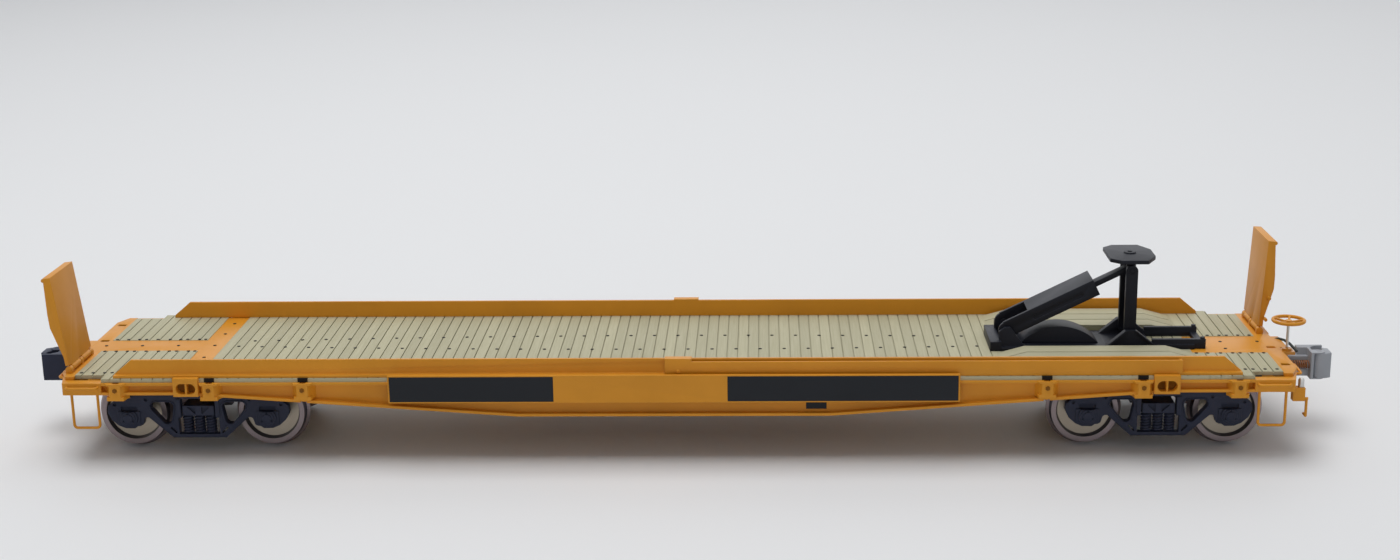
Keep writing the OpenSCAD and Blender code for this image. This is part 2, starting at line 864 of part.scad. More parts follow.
// Room for the black panels on the near side
module name_panel_rooms() for (x = panel_x)
    block(x, [-sill_y - name_t - over, panel_t - sill_y - name_t],
          [deck_top + name_up - board_h + panel_edge, deck_top + name_up - panel_edge]);

// Black panels let into the boards
module paint_panels() color(black) both_ends() for (x = panel_x)
    block(x, [-sill_y - name_t, panel_t - sill_y - name_t],
          [deck_top + name_up - board_h + panel_edge, deck_top + name_up - panel_edge]);

// Bridge plates

// Lug places along the hinge, as ranges from the plate's inner edge
hinge_lugs = [for (i = [0 : 2])
    let (from = i * (plate_w - hinge_lug_w) / 2) [from, from + hinge_lug_w]];

// Hinge lugs and pins that stay on the deck plates: one hinge at each end
module bridge_hinges() color(orange) both_ends() translate([0, plate_y, 0]) {
    for (y = hinge_lugs) difference() {
        union() {
            translate([hinge_x, 0, hinge_z]) bar_y(hinge_r, y[0], y[1]);
            block([hinge_x - hinge_r, hinge_x + hinge_r], y, [deck_top - plate_drop, hinge_z]);
        }
        translate([hinge_x, 0, hinge_z]) bar_y(hinge_pin_r, y[0] - over, y[1] + over);
    }
    translate([hinge_x, 0, hinge_z]) bar_y(hinge_pin_r, 0, plate_w);
}

// One bridge plate upright at the +X end, in its own frame with the hinge on the Y axis
module bridge_plate_upright() difference() {
    t = plate_t / 2;
    tip = plate_len - plate_t;
    lip_x = t + plate_flange * plate_lip_share;
    union() {
        block([-t, t], [0, plate_w], [hinge_start, plate_len]);
        block([-t, lip_x], [0, plate_w], [tip, plate_len]);
        for (y = [[0, plate_side_t], [plate_w - plate_side_t, plate_w]])
            along_y(y[0], y[1]) polygon(concat(
                [[t, tip], [t, hinge_start]],
                [for (s = plate_flange_shares)
                    [t + plate_flange * s[1], hinge_start + (tip - hinge_start) * s[0]]]));
        translate([lip_x, 0, plate_len - plate_lip]) bar_y(plate_lip, 0, plate_w);
        for (i = [0, 1]) let (from = hinge_lugs[i][1] + hinge_gap, to = hinge_lugs[i + 1][0] - hinge_gap) {
            bar_y(hinge_r, from, to);
            block([-t, t], [from, to], [0, hinge_start]);
        }
        for (s = plate_lugs) translate([t + plate_flange * s[1], 0, plate_len * s[0]])
            bar_y(lug_r, -plate_lug_out, plate_side_t);
    }
    bar_y(hinge_pin_r + pin_gap, -over, plate_w + over);
}

module bridge_plate(lean) color(orange)
    translate([hinge_x, plate_y, hinge_z]) rotate([0, lean, 0]) bridge_plate_upright();

// Trailer hitch

module hitch_base() color(black) {
    from = strut_x - base_back;
    to = hitch_x + base_front;
    half = hitch_w / 2;
    track_in = post_half + seat_gap;
    track_end = hitch_x + track_len;
    block([from, to], [-half, half], [deck_top, base_top]);
    block([from, from + base_pad[0]], [-half, half], [base_top, base_top + base_pad[1]]);
    both_sides() {
        // Ears that carry the strut's pivot
        along_y(strut_half + slide_gap, strut_half + slide_gap + strut_lug_t) {
            polygon([[strut_x - strut_round, base_top], [strut_x + 2 * strut_round, base_top],
                     [strut_x + hitch_pin_r, strut_z + strut_round / 2],
                     [strut_x - hitch_pin_r, strut_z + strut_round / 2], [strut_x - strut_round, strut_z]]);
        }
        // Gussets that carry the post's pivot
        along_y(track_in, track_in + gusset_t) polygon([
            [hitch_x - gusset_back, base_top], [hitch_x + gusset_front, base_top],
            [hitch_x + post_d / 2, post_z + gusset_up], [hitch_x - post_d / 2, post_z + gusset_up]
        ]);
        for (s = [[-gusset_back, -post_d / 2], [gusset_front, post_d / 2]])
            along_y(track_in + gusset_t, track_in + gusset_t + gusset_lip_w) polygon([
                [hitch_x + s[0], base_top], [hitch_x + s[1], post_z + gusset_up],
                [hitch_x + s[1] - sign(s[1]) * gusset_lip_t, post_z + gusset_up],
                [hitch_x + s[0] - 2 * sign(s[0]) * gusset_lip_t, base_top]
            ]);
        // Tracks that the folded post lies between
        block([to, track_end], [track_in, track_in + track_t], [deck_top, deck_top + track_h]);
        block([to, track_end - track_start], [track_in + track_t, track_in + track_t + track_ledge],
              [deck_top, deck_top + track_h / 2]);
        translate([track_end - track_knob_r, track_in + track_t / 2, deck_top + track_h])
            cylinder(r = track_t / 2, h = track_knob_h);
    }
    block([track_end - track_bar[0], track_end], [-track_in, track_in], [deck_top, deck_top + track_bar[1]]);
    for (s = [strut_x, hitch_x]) translate([s, 0, s == strut_x ? strut_z : post_z]) both_sides()
        bar_y(hitch_pin_r, s == strut_x ? strut_half - strut_web_t : post_half - post_leg_t,
              s == strut_x ? strut_half + slide_gap : track_in);
}

// Low arched saddle on the hitch base
module hitch_saddle() color(black) {
    r = (pow(saddle_chord / 2, 2) + pow(saddle_h, 2)) / (2 * saddle_h);
    along_y(-saddle_w / 2, saddle_w / 2) intersection() {
        translate([hitch_x - saddle_x, base_top + saddle_h - r]) circle(r);
        translate([hitch_x - saddle_x - saddle_chord, base_top]) square([2 * saddle_chord, saddle_h]);
    }
}

// Folding post: a channel open towards the strut
module hitch_post() color(black) difference() {
    d = post_d / 2;
    union() {
        both_sides() along_y(post_half - post_leg_t, post_half) {
            translate([hitch_x - d, post_z]) square([post_d, post_len]);
            translate([hitch_x, post_z]) circle(post_round);
            translate([hitch_x, head_z]) circle(d);
        }
        block([hitch_x + d - post_web_t, hitch_x + d], [-post_half, post_half],
              [post_z + post_web_low, head_z - post_web_low]);
    }
    for (z = [post_z, head_z]) translate([hitch_x, 0, z])
        bar_y(hitch_pin_r + pin_gap, -post_half - over, post_half + over);
}

// Fifth-wheel plate with its kingpin socket and the lugs that it tilts on
module hitch_head() color(black) difference() {
    low = head_z + head_drop;
    nose = head_w * head_nose_share / 2;
    union() {
        translate([hitch_x, 0, low]) linear_extrude(head_t) polygon([
            [-head_len / 2, -head_w / 2 + head_edge], [-head_len / 2 + head_edge, -head_w / 2],
            [head_len / 2 - head_edge, -head_w / 2], [head_len / 2, -nose], [head_len / 2, nose],
            [head_len / 2 - head_edge, head_w / 2], [-head_len / 2 + head_edge, head_w / 2],
            [-head_len / 2, head_w / 2 - head_edge]
        ]);
        translate([hitch_x, 0, low + head_t]) cylinder(r = head_boss_r, h = head_boss_h);
        both_sides() {
            along_y(head_lug[0], head_lug[1]) translate([hitch_x, 0]) {
                translate([0, head_z]) circle(head_lug_r);
                translate([-head_lug_r, head_z]) square([2 * head_lug_r, head_drop]);
            }
            translate([hitch_x, 0, head_z]) bar_y(hitch_pin_r, head_lug[1], post_half);
        }
    }
    translate([hitch_x, 0, low - over]) cylinder(r = kingpin_r, h = head_t + head_boss_h + 2 * over);
}

// Places a piece on the strut's line, with X along the strut from its lower pivot
module on_strut() translate([strut_x, 0, strut_z]) rotate([0, -strut_rise, 0]) children();

// Diagonal strut: an upturned channel, open at its lower end
module strut_channel() color(black) on_strut() difference() {
    inner = strut_half - strut_web_t;
    union() {
        both_sides() along_y(inner, strut_half) {
            circle(strut_round);
            translate([0, -strut_down]) square([strut_len, strut_down + strut_up]);
        }
        block([strut_cover_start, strut_len], [-inner, inner], [strut_up - strut_top_t, strut_up]);
        block([strut_len - strut_mouth_t, strut_len], [-inner, inner], [-strut_down, strut_up]);
    }
    block([strut_len - strut_mouth_t - over, strut_len + over],
          [-rod_w / 2 - slide_gap, rod_w / 2 + slide_gap], [-rod_h / 2 - slide_gap, rod_h / 2 + slide_gap]);
    both_sides() along_y(strut_half - strut_slot_d, strut_half + over)
        rounded([[strut_slot_x[0], 0], [strut_slot_x[1], 0]], strut_slot_w / 2);
    bar_y(hitch_pin_r + pin_gap, -strut_half - over, strut_half + over);
}

// Telescoping rod that slides in the strut
module strut_rod() color(black) on_strut() along_y(-rod_w / 2, rod_w / 2) {
    translate([rod_start, -rod_h / 2]) square([strut_reach - rod_nose_gap - rod_start, rod_h]);
    translate([strut_reach - rod_nose_gap, 0]) circle(rod_h / 2);
}

// Trucks

// Its children's place on the truck at one end: -1 or 1
module at_truck(end) translate([end * tc, 0, 0]) children();

// A point of the side frame from its shares
function frame_point(s, side) =
    [side * s[0] * frame_len / 2, axle_z + s[1] * (s[1] > 0 ? frame_up : frame_down)];

// Outline of the casting with its windows open
module frame_outline() difference() {
    right = [for (s = frame_shares) frame_point(s, 1)];
    left = [for (i = [len(frame_shares) - 2 : -1 : 1]) frame_point(frame_shares[i], -1)];
    polygon(concat(right, left));
    for (side = [-1, 1]) {
        corners = [for (s = frame_window_shares) frame_point(s, side)];
        rounded(side < 0 ? [for (i = [len(corners) - 1 : -1 : 0]) corners[i]] : corners, frame_fillet);
        rounded([for (s = frame_slot_shares) frame_point(s, side)], frame_slot_r);
    }
    translate([-window_half, axle_z - window_low]) square([2 * window_half, window_low + window_up]);
    translate([-window_half - seat_wide, axle_z - window_low])
        square([2 * (window_half + seat_wide), window_low - seat_knee]);
}

// One cast side frame on the far side of the truck
module side_frame() color(black) {
    out = frame_y + frame_t;
    difference() {
        union() {
            along_y(frame_y, out) frame_outline();
            for (s = [-1, 1]) {
                // Guides beside the bolster
                translate([s * (window_half + guide_w / 2), 0, axle_z])
                    block([-guide_w / 2, guide_w / 2], [out, out + guide_out], [seat_knee, window_up]);
                translate([s * wheelbase / 2, 0, axle_z]) {
                    block([-box_half_w, box_half_w], [out, out + box_out], [-box_down, box_up]);
                    bar_y(cap_r, out, out + cap_out);
                    bar_y(cap_ring_r, out + cap_out, out + cap_out + cap_step);
                    bar_y(cap_step_r, out + cap_out, out + cap_out + 2 * cap_step);
                }
            }
        }
        for (s = [-1, 1]) translate([s * wheelbase / 2, 0, axle_z]) {
            bar_y(journal_r + pin_gap, frame_y - over, wheel_out + journal_len + slide_gap);
            block([-roof_half, roof_half], [out - roof_d, out + box_out + over], [box_up, box_up + roof_h]);
            for (i = [0 : cap_bolts - 1]) rotate([0, i * 360 / cap_bolts, 0])
                translate([0, 0, cap_bolt_ring]) bar_y(cap_bolt_r, out + cap_out, out + cap_out + over);
        }
        for (s = [-1, 1], h = frame_hole_shares) let (at = frame_point(h, s)) translate([at[0], 0, at[1]])
            bar_y(frame_hole_r, out - frame_hole_d, out + over);
    }
}

// Truck bolster with its centre plate, its ends resting on the springs
module truck_bolster() color(black) difference() {
    end_y = frame_y + frame_t;
    high = axle_z + bolster_up;
    low = axle_z + bolster_low;
    union() {
        along_x(-bolster_half, bolster_half) polygon([
            [-end_y, high], [-end_y, low], [-bolster_belly_y, low], [-truck_plate_r, axle_z - bolster_belly],
            [truck_plate_r, axle_z - bolster_belly], [bolster_belly_y, low], [end_y, low], [end_y, high]
        ]);
        translate([0, 0, high]) cylinder(r = truck_plate_r, h = seat_z - high);
    }
    translate([0, 0, axle_z - bolster_belly - over])
        cylinder(r = king_r + pin_gap, h = seat_z - axle_z + bolster_belly + 2 * over);
    both_sides() for (s = [-1, 1]) translate([0, 0, (high + low) / 2])
        along_y(end_y - bolster_pocket[2], end_y + over) polygon([
            [s * bolster_pocket[0] * bolster_rib_share, bolster_pocket[1] / 2],
            [s * bolster_pocket[0], bolster_pocket[1] / 2],
            [s * bolster_pocket[0] * bolster_rib_share, -bolster_pocket[1] / 2]
        ]);
}

// Coil springs in both side frames, each a core ringed by its coils
module truck_springs() color(black) {
    low = axle_z - window_low;
    tall = window_low + bolster_low;
    pitch = tall / spring_coils;
    section = concat(
        [[0, tall], [0, 0]],
        [for (i = [0 : spring_coils - 1], p = [[spring_core_r, 0], [spring_r, pitch / 4],
                                               [spring_r, 3 * pitch / 4]])
            [p[0], i * pitch + p[1]]],
        [[spring_core_r, tall]]);
    both_sides() for (k = [0 : spring_row - 1])
        translate([(k - (spring_row - 1) / 2) * spring_pitch, frame_y + frame_t / 2, low])
            rotate_extrude() polygon(section);
}

// Wheelsets

// Half section of a wheel in radius and distance from the car's middle
module wheel_section() {
    back = back_to_back / 2;
    rim_in = wheel_r - tread_taper - rim_t;
    polygon([
        [axle_r, back], [wheel_r + flange_h - flange_t / 4, back], [wheel_r + flange_h, back + flange_t / 3],
        [wheel_r + flange_h / 2, back + flange_t * 2 / 3], [wheel_r, back + flange_t],
        [wheel_r - tread_taper, wheel_out], [rim_in, wheel_out], [rim_in - rim_slope, wheel_out - disc_step],
        [hub_r, wheel_out - disc_step], [hub_r, wheel_out - disc_step + hub_out],
        [axle_r, wheel_out - disc_step + hub_out]
    ]);
}

// Two wheels about the Y axis
module wheels() color(steel) both_sides() rotate([-90, 0, 0]) rotate_extrude() wheel_section();

// Axle with its two journals
module axle() color(black) {
    half = wheel_out - disc_step + hub_out;
    bar_y(axle_r, -half, half);
    both_sides() bar_y(journal_r, half, wheel_out + journal_len);
}

// Its children at one of the four axles, counted from the plain end
module at_axle(i)
    translate([(i < 2 ? -tc : tc) + (i % 2 == 0 ? -wheelbase / 2 : wheelbase / 2), 0, axle_z]) children();

// Couplers, drawn at the +X end

// Shank, guard arm and head of a coupler about its draw pin
module coupler(tone) color(tone) translate([coupler_pivot, 0, coupler_z]) {
    face = coupler_len;
    back = face - head_back;
    pin_x = face - knuckle_in;
    wall = pin_x - knuckle_r;
    lug = coupler_h * (1 - knuckle_h_share) / 2;
    difference() {
        union() {
            translate([0, 0, -shank_h / 2]) cylinder(r = eye_r, h = shank_h);
            block([0, (back + wall) / 2], [-shank_w / 2, shank_w / 2], [-shank_h / 2, shank_h / 2]);
        }
        translate([0, 0, -shank_h]) cylinder(r = draw_pin_r + pin_gap, h = 2 * shank_h);
    }
    translate([0, 0, -coupler_h / 2]) linear_extrude(coupler_h) polygon([
        [back, -head_half], [wall, -head_half], [wall, 0], [pin_x, shank_w / 2],
        [face - guard_short, shank_w / 2], [face - guard_short, guard_out],
        [back - guard_back, guard_out], [back - guard_back, 0], [back, 0]
    ]);
    // Shelf under the knuckle spring
    block([back - shelf_len, (back + wall) / 2], [-shelf_out, shank_w / 2], shelf_z);
    // Lugs that hold the knuckle's pin
    for (z = [-coupler_h / 2, coupler_h / 2 - lug]) translate([0, 0, z]) linear_extrude(lug) difference() {
        union() {
            translate([pin_x, -knuckle_y]) circle(knuckle_r);
            translate([back, -knuckle_y - knuckle_r]) square([knuckle_r + wall - back, 2 * knuckle_r]);
        }
        translate([pin_x, -knuckle_y]) circle(knuckle_pin_r + pin_gap);
    }
}

// Knuckle with its pin, hooked round to the pulling face
module knuckle(tone) color(tone) translate([coupler_pivot, 0, coupler_z]) {
    tall = coupler_h * knuckle_h_share;
    pin_x = coupler_len - knuckle_in;
    hook_x = coupler_len - knuckle_hook;
    translate([0, 0, -tall / 2]) linear_extrude(tall) {
        translate([pin_x, -knuckle_y]) circle(knuckle_r - slide_gap);
        polygon([
            [pin_x, -knuckle_y - knuckle_r + slide_gap], [hook_x, -knuckle_y - knuckle_r],
            [coupler_len, -knuckle_y - knuckle_r / 2], [coupler_len, 0], [hook_x, knuckle_hook / 2],
            [hook_x, -knuckle_hook / 2], [pin_x + slide_gap, -knuckle_y + knuckle_r / 2]
        ]);
    }
    translate([pin_x, -knuckle_y, -coupler_h / 2]) cylinder(r = knuckle_pin_r, h = coupler_h);
}

// Knuckle spring beside the shank, a core ringed by its coils
module coupler_spring() color(copper) {
    pitch = coil_len / coil_count;
    from = coupler_len - head_back - coil_len;
    translate([coupler_pivot + from, -coil_y, coupler_z + coil_up]) rotate([0, 90, 0]) rotate_extrude()
        polygon(concat(
            [[0, coil_len], [0, 0]],
            [for (i = [0 : coil_count - 1], p = [[coil_core_r, 0], [coil_r, pitch / 4], [coil_r, 3 * pitch / 4]])
                [p[0], i * pitch + p[1]]],
            [[coil_core_r, coil_len]]));
}

// Fittings

// Air reservoir, brake cylinder and control valve hung under the deck
module brake_gear() color(black) {
    z = sill_top - reservoir[0] - gear_strap[1];
    for (g = [[gear_x[0], gear_y, reservoir], [gear_x[2], -gear_y, cylinder]]) translate([g[0], g[1], z]) {
        bar_x(g[2][0], -g[2][1] / 2, g[2][1] / 2);
        for (s = [-1, 1]) translate([s * g[2][1] / 4, 0, 0])
            block([-gear_strap[0] / 2, gear_strap[0] / 2], [-gear_strap[0], gear_strap[0]], [0, sill_top - z]);
    }
    translate([gear_x[1], gear_y, 0]) block([-valve[0] / 2, valve[0] / 2], [-valve[1] / 2, valve[1] / 2],
                                            [sill_top - valve[2], sill_top]);
}

// Brake staff with its foot and ratchet at the brake end
module brake_staff() color(steel) translate([end_x + staff_out, staff_y, 0]) {
    translate([0, 0, staff_low]) cylinder(r = staff_r, h = brake_wheel_z - staff_low);
    foot_z = deck_top - plate_drop - staff_foot[2];
    block([-staff_out, staff_foot[0] / 2], [-staff_foot[1] / 2, staff_foot[1] / 2],
          [foot_z, foot_z + staff_foot[2]]);
    translate([0, 0, foot_z + staff_foot[2]]) cylinder(r = ratchet_r, h = ratchet_t);
}

module brake_wheel() color(orange) translate([end_x + staff_out, staff_y, brake_wheel_z]) {
    ring = brake_wheel_d / 2 - brake_rim_r;
    rotate_extrude() translate([ring, 0]) circle(brake_rim_r);
    translate([0, 0, -brake_dish - brake_hub_h / 2]) difference() {
        cylinder(r = brake_hub_r, h = brake_hub_h);
        translate([0, 0, -over]) cylinder(r = staff_r, h = over + brake_hub_h / 2 + brake_dish);
    }
    for (i = [0 : brake_spokes - 1]) rotate([0, 0, i * 360 / brake_spokes])
        along_y(-brake_spoke_w / 2, brake_spoke_w / 2) polygon([
            [brake_hub_r / 2 + staff_r, -brake_dish - brake_spoke_w / 2], [ring, -brake_spoke_w / 2],
            [ring, brake_spoke_w / 2], [brake_hub_r / 2 + staff_r, brake_spoke_w / 2 - brake_dish]
        ]);
}

// Wire steps under the four corners
module sill_steps() color(orange) for (s = [-1, 1]) both_sides()
    translate([s * (end_x - step_in - step_w / 2), step_y - wire_d / 2, 0])
        wire_u(step_w / 2 - wire_d / 2, sill_end_low, step_z, step_bend);

// A grab iron: a bent wire that stands out from its two roots along -Z
module grab_iron(half, out)
    wire_u(half - wire_d / 2, 0, -out, step_bend);

module grab_irons() color(orange) {
    z = sill_top - grab_z;
    for (s = [-1, 1]) both_sides() translate([s * (end_x - step_in - step_w / 2), sill_y, z])
        rotate([90, 0, 0]) grab_iron(grab_len / 2, grab_out);
    both_ends() both_sides() translate([end_x - end_grab_in, end_grab_y, z]) rotate([0, -90, 0]) rotate([0, 0, 90])
        grab_iron(end_grab_len / 2, end_grab_in + end_grab_out);
}

// Uncoupling levers: a bracket under each end sill with the handle hanging from it
module uncoupling_levers() color(orange) both_ends() translate([end_x + lever_front, -lever_y, 0]) {
    r = wire_d / 2;
    low = sill_end_low - lever_eye[2];
    block([-lever_eye[0], 0], [-lever_eye[1] / 2, lever_eye[1] / 2], [low, sill_end_low]);
    translate([0, 0, low + r]) bar_x(r, 0, lever_out + r);
    translate([lever_out, 0, low - lever_low]) cylinder(r = r, h = lever_low + r);
    translate([lever_out, 0, low - lever_low]) bar_y(r, 0, lever_hook);
}

// Nodes

on_rail() mirror([0, 1, 0]) side_sill();  // side_sill_near
on_rail() side_sill();  // side_sill_far
on_rail() centre_sill();
on_rail() body_bolsters();
on_rail() cross_bearers();
on_rail() rotate([0, 0, 180]) end_sill();  // end_sill_a
on_rail() end_sill();  // end_sill_b
on_rail() draft_boxes();
on_rail() kingpin_screws();
on_rail() main_deck();
on_rail() end_deck();
on_rail() deck_plates();
on_rail() wheel_planks();
on_rail() mirror([0, 1, 0]) guard_rail();  // guard_rail_near
on_rail() guard_rail();  // guard_rail_far
on_rail() name_boards();
on_rail() paint_panels();
on_rail() bridge_hinges();
on_rail() brake_gear();
on_rail() brake_staff();
on_rail() brake_wheel();
on_rail() sill_steps();
on_rail() grab_irons();
on_rail() uncoupling_levers();
on_rail() rotate([0, 0, 180]) bridge_plate(lean_a);  // bridge_plate_a
on_rail() bridge_plate(lean_b);  // bridge_plate_b
on_rail() hitch_base();
on_rail() hitch_saddle();
on_rail() hitch_post();
on_rail() hitch_head();
on_rail() strut_channel();
on_rail() strut_rod();
on_rail() at_truck(-1) mirror([0, 1, 0]) side_frame();  // truck_a_frame_near
on_rail() at_truck(-1) side_frame();  // truck_a_frame_far
on_rail() at_truck(-1) truck_bolster();  // truck_a_bolster
on_rail() at_truck(-1) truck_springs();  // truck_a_springs
on_rail() at_truck(1) mirror([0, 1, 0]) side_frame();  // truck_b_frame_near
on_rail() at_truck(1) side_frame();  // truck_b_frame_far
on_rail() at_truck(1) truck_bolster();  // truck_b_bolster
on_rail() at_truck(1) truck_springs();  // truck_b_springs
on_rail() at_axle(0) axle();  // axle_1
on_rail() at_axle(0) wheels();  // wheels_1
on_rail() at_axle(1) axle();  // axle_2
on_rail() at_axle(1) wheels();  // wheels_2
on_rail() at_axle(2) axle();  // axle_3
on_rail() at_axle(2) wheels();  // wheels_3
on_rail() at_axle(3) axle();  // axle_4
on_rail() at_axle(3) wheels();  // wheels_4
on_rail() rotate([0, 0, 180]) coupler(black);  // coupler_a
on_rail() rotate([0, 0, 180]) knuckle(black);  // knuckle_a
on_rail() rotate([0, 0, 180]) coupler_spring();  // coupler_spring_a
on_rail() coupler(grey);  // coupler_b
on_rail() knuckle(grey);  // knuckle_b
on_rail() coupler_spring();  // coupler_spring_b
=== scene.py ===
"""Looks of a model freight car: a flat car with a wooden deck, guard rails and a folding hitch.

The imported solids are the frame, in metres: X along the car with the brake end at +X, Y across it
and Z up from the bottom of the wheel flanges. Each operator makes one kind of piece or finish.
"""
import json
import math

import bpy
from bpy.props import FloatProperty, FloatVectorProperty, IntProperty, PointerProperty
from mathutils import Matrix, Vector


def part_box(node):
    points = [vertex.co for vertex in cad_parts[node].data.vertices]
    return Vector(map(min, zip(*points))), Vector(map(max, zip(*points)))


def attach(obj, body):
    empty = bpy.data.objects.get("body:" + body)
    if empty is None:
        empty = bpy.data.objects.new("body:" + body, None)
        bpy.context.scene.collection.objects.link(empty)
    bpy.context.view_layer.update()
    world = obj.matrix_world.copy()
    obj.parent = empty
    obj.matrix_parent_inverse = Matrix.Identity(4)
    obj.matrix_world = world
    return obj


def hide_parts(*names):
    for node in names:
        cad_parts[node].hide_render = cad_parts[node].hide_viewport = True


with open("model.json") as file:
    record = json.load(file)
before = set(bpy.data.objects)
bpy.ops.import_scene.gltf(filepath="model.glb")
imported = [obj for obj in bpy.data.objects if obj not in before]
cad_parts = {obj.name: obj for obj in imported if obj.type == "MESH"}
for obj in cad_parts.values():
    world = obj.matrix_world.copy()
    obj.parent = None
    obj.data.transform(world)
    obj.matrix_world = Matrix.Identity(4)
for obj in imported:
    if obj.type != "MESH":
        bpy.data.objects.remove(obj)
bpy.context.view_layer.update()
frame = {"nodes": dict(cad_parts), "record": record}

bl_info = {
    "name": "Flat Car Looks",
    "version": (1, 0, 0),
    "blender": (4, 5, 0),
    "location": "View3D > Sidebar > Flat Car",
    "description": "Finishes and fine details of a model flat car",
    "category": "Object",
}

MM = 0.001
BODY_OF = {n: b for b, ns in frame["record"]["behaviour"]["bodies"].items() for n in ns}
NODES = frame["nodes"]


def middle(node):
    """The middle of a solid's box."""
    low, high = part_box(node)
    return (low + high) / 2


# Places that the solids give, in metres
DECK_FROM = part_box("main_deck")[0].x
DECK_TO, DECK_EDGE, DECK_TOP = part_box("main_deck")[1]
STEEL_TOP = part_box("deck_plates")[1].z
PATCH_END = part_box("end_deck")[1].x
SILL_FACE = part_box("side_sill_far")[1].y
WHEEL_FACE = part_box("wheels_1")[1].y
AXLE_Z = middle("wheels_1").z
TRUCK_X = {end: middle(f"truck_{end}_bolster").x for end in "ab"}
AXLE_BASE = middle("wheels_4").x - TRUCK_X["b"]

# Sizes of the solids that their boxes don't give: the height of the treads' bottom, the wheels'
# treads and rims, and the painted foot of the brake staff
TREAD_Z = 0.9 * MM
TREAD_R = AXLE_Z - TREAD_Z
RIM_IN = TREAD_R - 1.46 * MM
RIM_SLOPE = 0.42 * MM
STAFF_FOOT = 0.85 * MM

# Points closer than these are one point
WELD = 0.001 * MM
SOLID_WELD = 0.0005 * MM
CLEAN_WELD = 0.0001 * MM


# Settings that a user would change

def length(name, description, default):
    return FloatProperty(name=name, description=description, default=default, min=0.0,
                         unit="LENGTH", precision=5)


def tone(name, description, default):
    return FloatVectorProperty(name=name, description=description, default=default, min=0.0,
                               max=1.0, size=3, subtype="COLOR")


class FlatCarSizes(bpy.types.PropertyGroup):
    """Sizes of the fine details."""
    nail_radius: length("Nail radius", "Radius of a deck nail's head", 0.46 * MM)
    nail_height: length("Nail height", "Height of a deck nail's head above the board", 0.10 * MM)
    nail_pitch: length("Nail pitch", "Distance from one nail of a row to the next", 6.30 * MM)
    nail_row: length("Nail row", "Distance of a nail row from the deck's middle, halfway along",
                     6.30 * MM)
    rivet_radius: length("Rivet radius", "Radius of a rivet in the steel strips", 0.44 * MM)
    board_pitch: length("Board pitch", "Distance from one deck board to the next", 2.735 * MM)
    spring_wire: length("Spring wire", "Radius of the truck springs' wire", 0.24 * MM)
    spring_turns: IntProperty(name="Spring turns", description="Turns of a truck spring",
                              default=6, min=3, max=12)
    coil_wire: length("Coil wire", "Radius of the coupler springs' wire", 0.17 * MM)
    coil_turns: IntProperty(name="Coil turns", description="Turns of a coupler spring",
                            default=8, min=4, max=16)
    edge_round: length("Edge rounding", "Rounding of edges on sheet and boards", 0.10 * MM)
    cast_round: length("Casting rounding", "Rounding of edges on castings", 0.16 * MM)
    bolt_radius: length("Bolt radius", "Radius across the corners of a pocket bolt", 0.62 * MM)
    bead_radius: length("Bead radius", "Radius of the bead round a casting's window", 0.22 * MM)


class FlatCarColours(bpy.types.PropertyGroup):
    """Colours of the finishes."""
    paint: tone("Body paint", "Yellow-orange paint of the body", (0.690, 0.285, 0.018))
    # Lighter orange for the edges: rubbed paint and a painted highlight
    paint_rub_highlight_tone: tone("Worn paint", "The paint along its edges", (0.860, 0.430, 0.060))
    wood: tone("Deck wood", "Olive-tan of the deck boards", (0.500, 0.472, 0.318))
    wood_dark: tone("Dark wood", "Darker streaks of the deck boards", (0.310, 0.288, 0.178))
    panel: tone("Black panel", "Blank black panels on the name boards", (0.012, 0.014, 0.018))
    hitch: tone("Hitch black", "Satin black of the folding hitch", (0.0125, 0.0138, 0.0205))
    # Lighter black for the edges: a painted highlight
    hitch_rub_highlight_tone: tone("Hitch edge", "Black paint along the hitch's edges", (0.040, 0.044, 0.058))
    truck: tone("Truck casting", "Blue-black of the truck castings", (0.0210, 0.0255, 0.0500))
    # Lighter blue-black for the castings' edges: a painted highlight
    truck_worn: tone("Truck edge", "Blue-black along the castings' edges", (0.050, 0.062, 0.090))
    wheel: tone("Wheel disc", "Nickel of the wheels' discs", (0.520, 0.455, 0.365))
    rim: tone("Wheel rim", "Nickel of the wheels' rims", (0.340, 0.280, 0.290))
    soil: tone("Wheel soil", "Dust on the wheels", (0.160, 0.130, 0.100))
    steel: tone("Bright steel", "Steel of the brake staff and pins", (0.560, 0.550, 0.530))
    grey: tone("Coupler grey", "Grey of the coupler at the brake end", (0.365, 0.385, 0.420))
    copper: tone("Spring copper", "Copper of the coupler springs", (0.330, 0.140, 0.060))
    # The nails' dark colour, also painted as the shadow in the stake slot mouths and on the end
    # slot floor
    nail: tone("Nail black", "Dark heads of nails and rivets", (0.010, 0.009, 0.008))
    # Dark brown of the pocket bolts, also painted as the shade on each rope hole's floor
    recess: tone("Recess", "Paint that stays dark in the deep holes", (0.230, 0.088, 0.008))
    rod: tone("Release rod", "Grey-green of the release rod", (0.045, 0.055, 0.050))
    floor: tone("Floor", "Pale floor under the car", (0.860, 0.865, 0.875))


class FlatCarView(bpy.types.PropertyGroup):
    """The camera's place and the lamps' level."""
    eye: FloatVectorProperty(name="Eye", description="Place of the camera", size=3,
                             default=(0.022993, -0.503072, 0.174708), subtype="XYZ", unit="LENGTH")
    yaw: FloatProperty(name="Yaw", description="Turn of the view about Z", subtype="ANGLE",
                       default=math.radians(-1.911))
    pitch: FloatProperty(name="Pitch", description="Tilt of the view below the horizon",
                         subtype="ANGLE", default=math.radians(14.986))
    roll: FloatProperty(name="Roll", description="Turn of the picture", subtype="ANGLE",
                        default=math.radians(-0.763))
    lens: FloatProperty(name="Lens", description="Focal length in millimetres", default=51.06)
    key: FloatProperty(name="Key lamp", description="Power of the lamp above the car",
                       default=11.0, subtype="POWER")
    fill: FloatProperty(name="Fill lamp", description="Power of the lamp in front",
                        default=0.6, subtype="POWER")
    back: FloatProperty(name="Back lamp", description="Power of the lamp behind",
                        default=2.0, subtype="POWER")
    sky: FloatProperty(name="Sky", description="Strength of the even light", default=0.28)


def sizes():
    return bpy.context.scene.flat_car_sizes


def colours():
    return bpy.context.scene.flat_car_colours


# Modelling by hand: small steps that the operators share

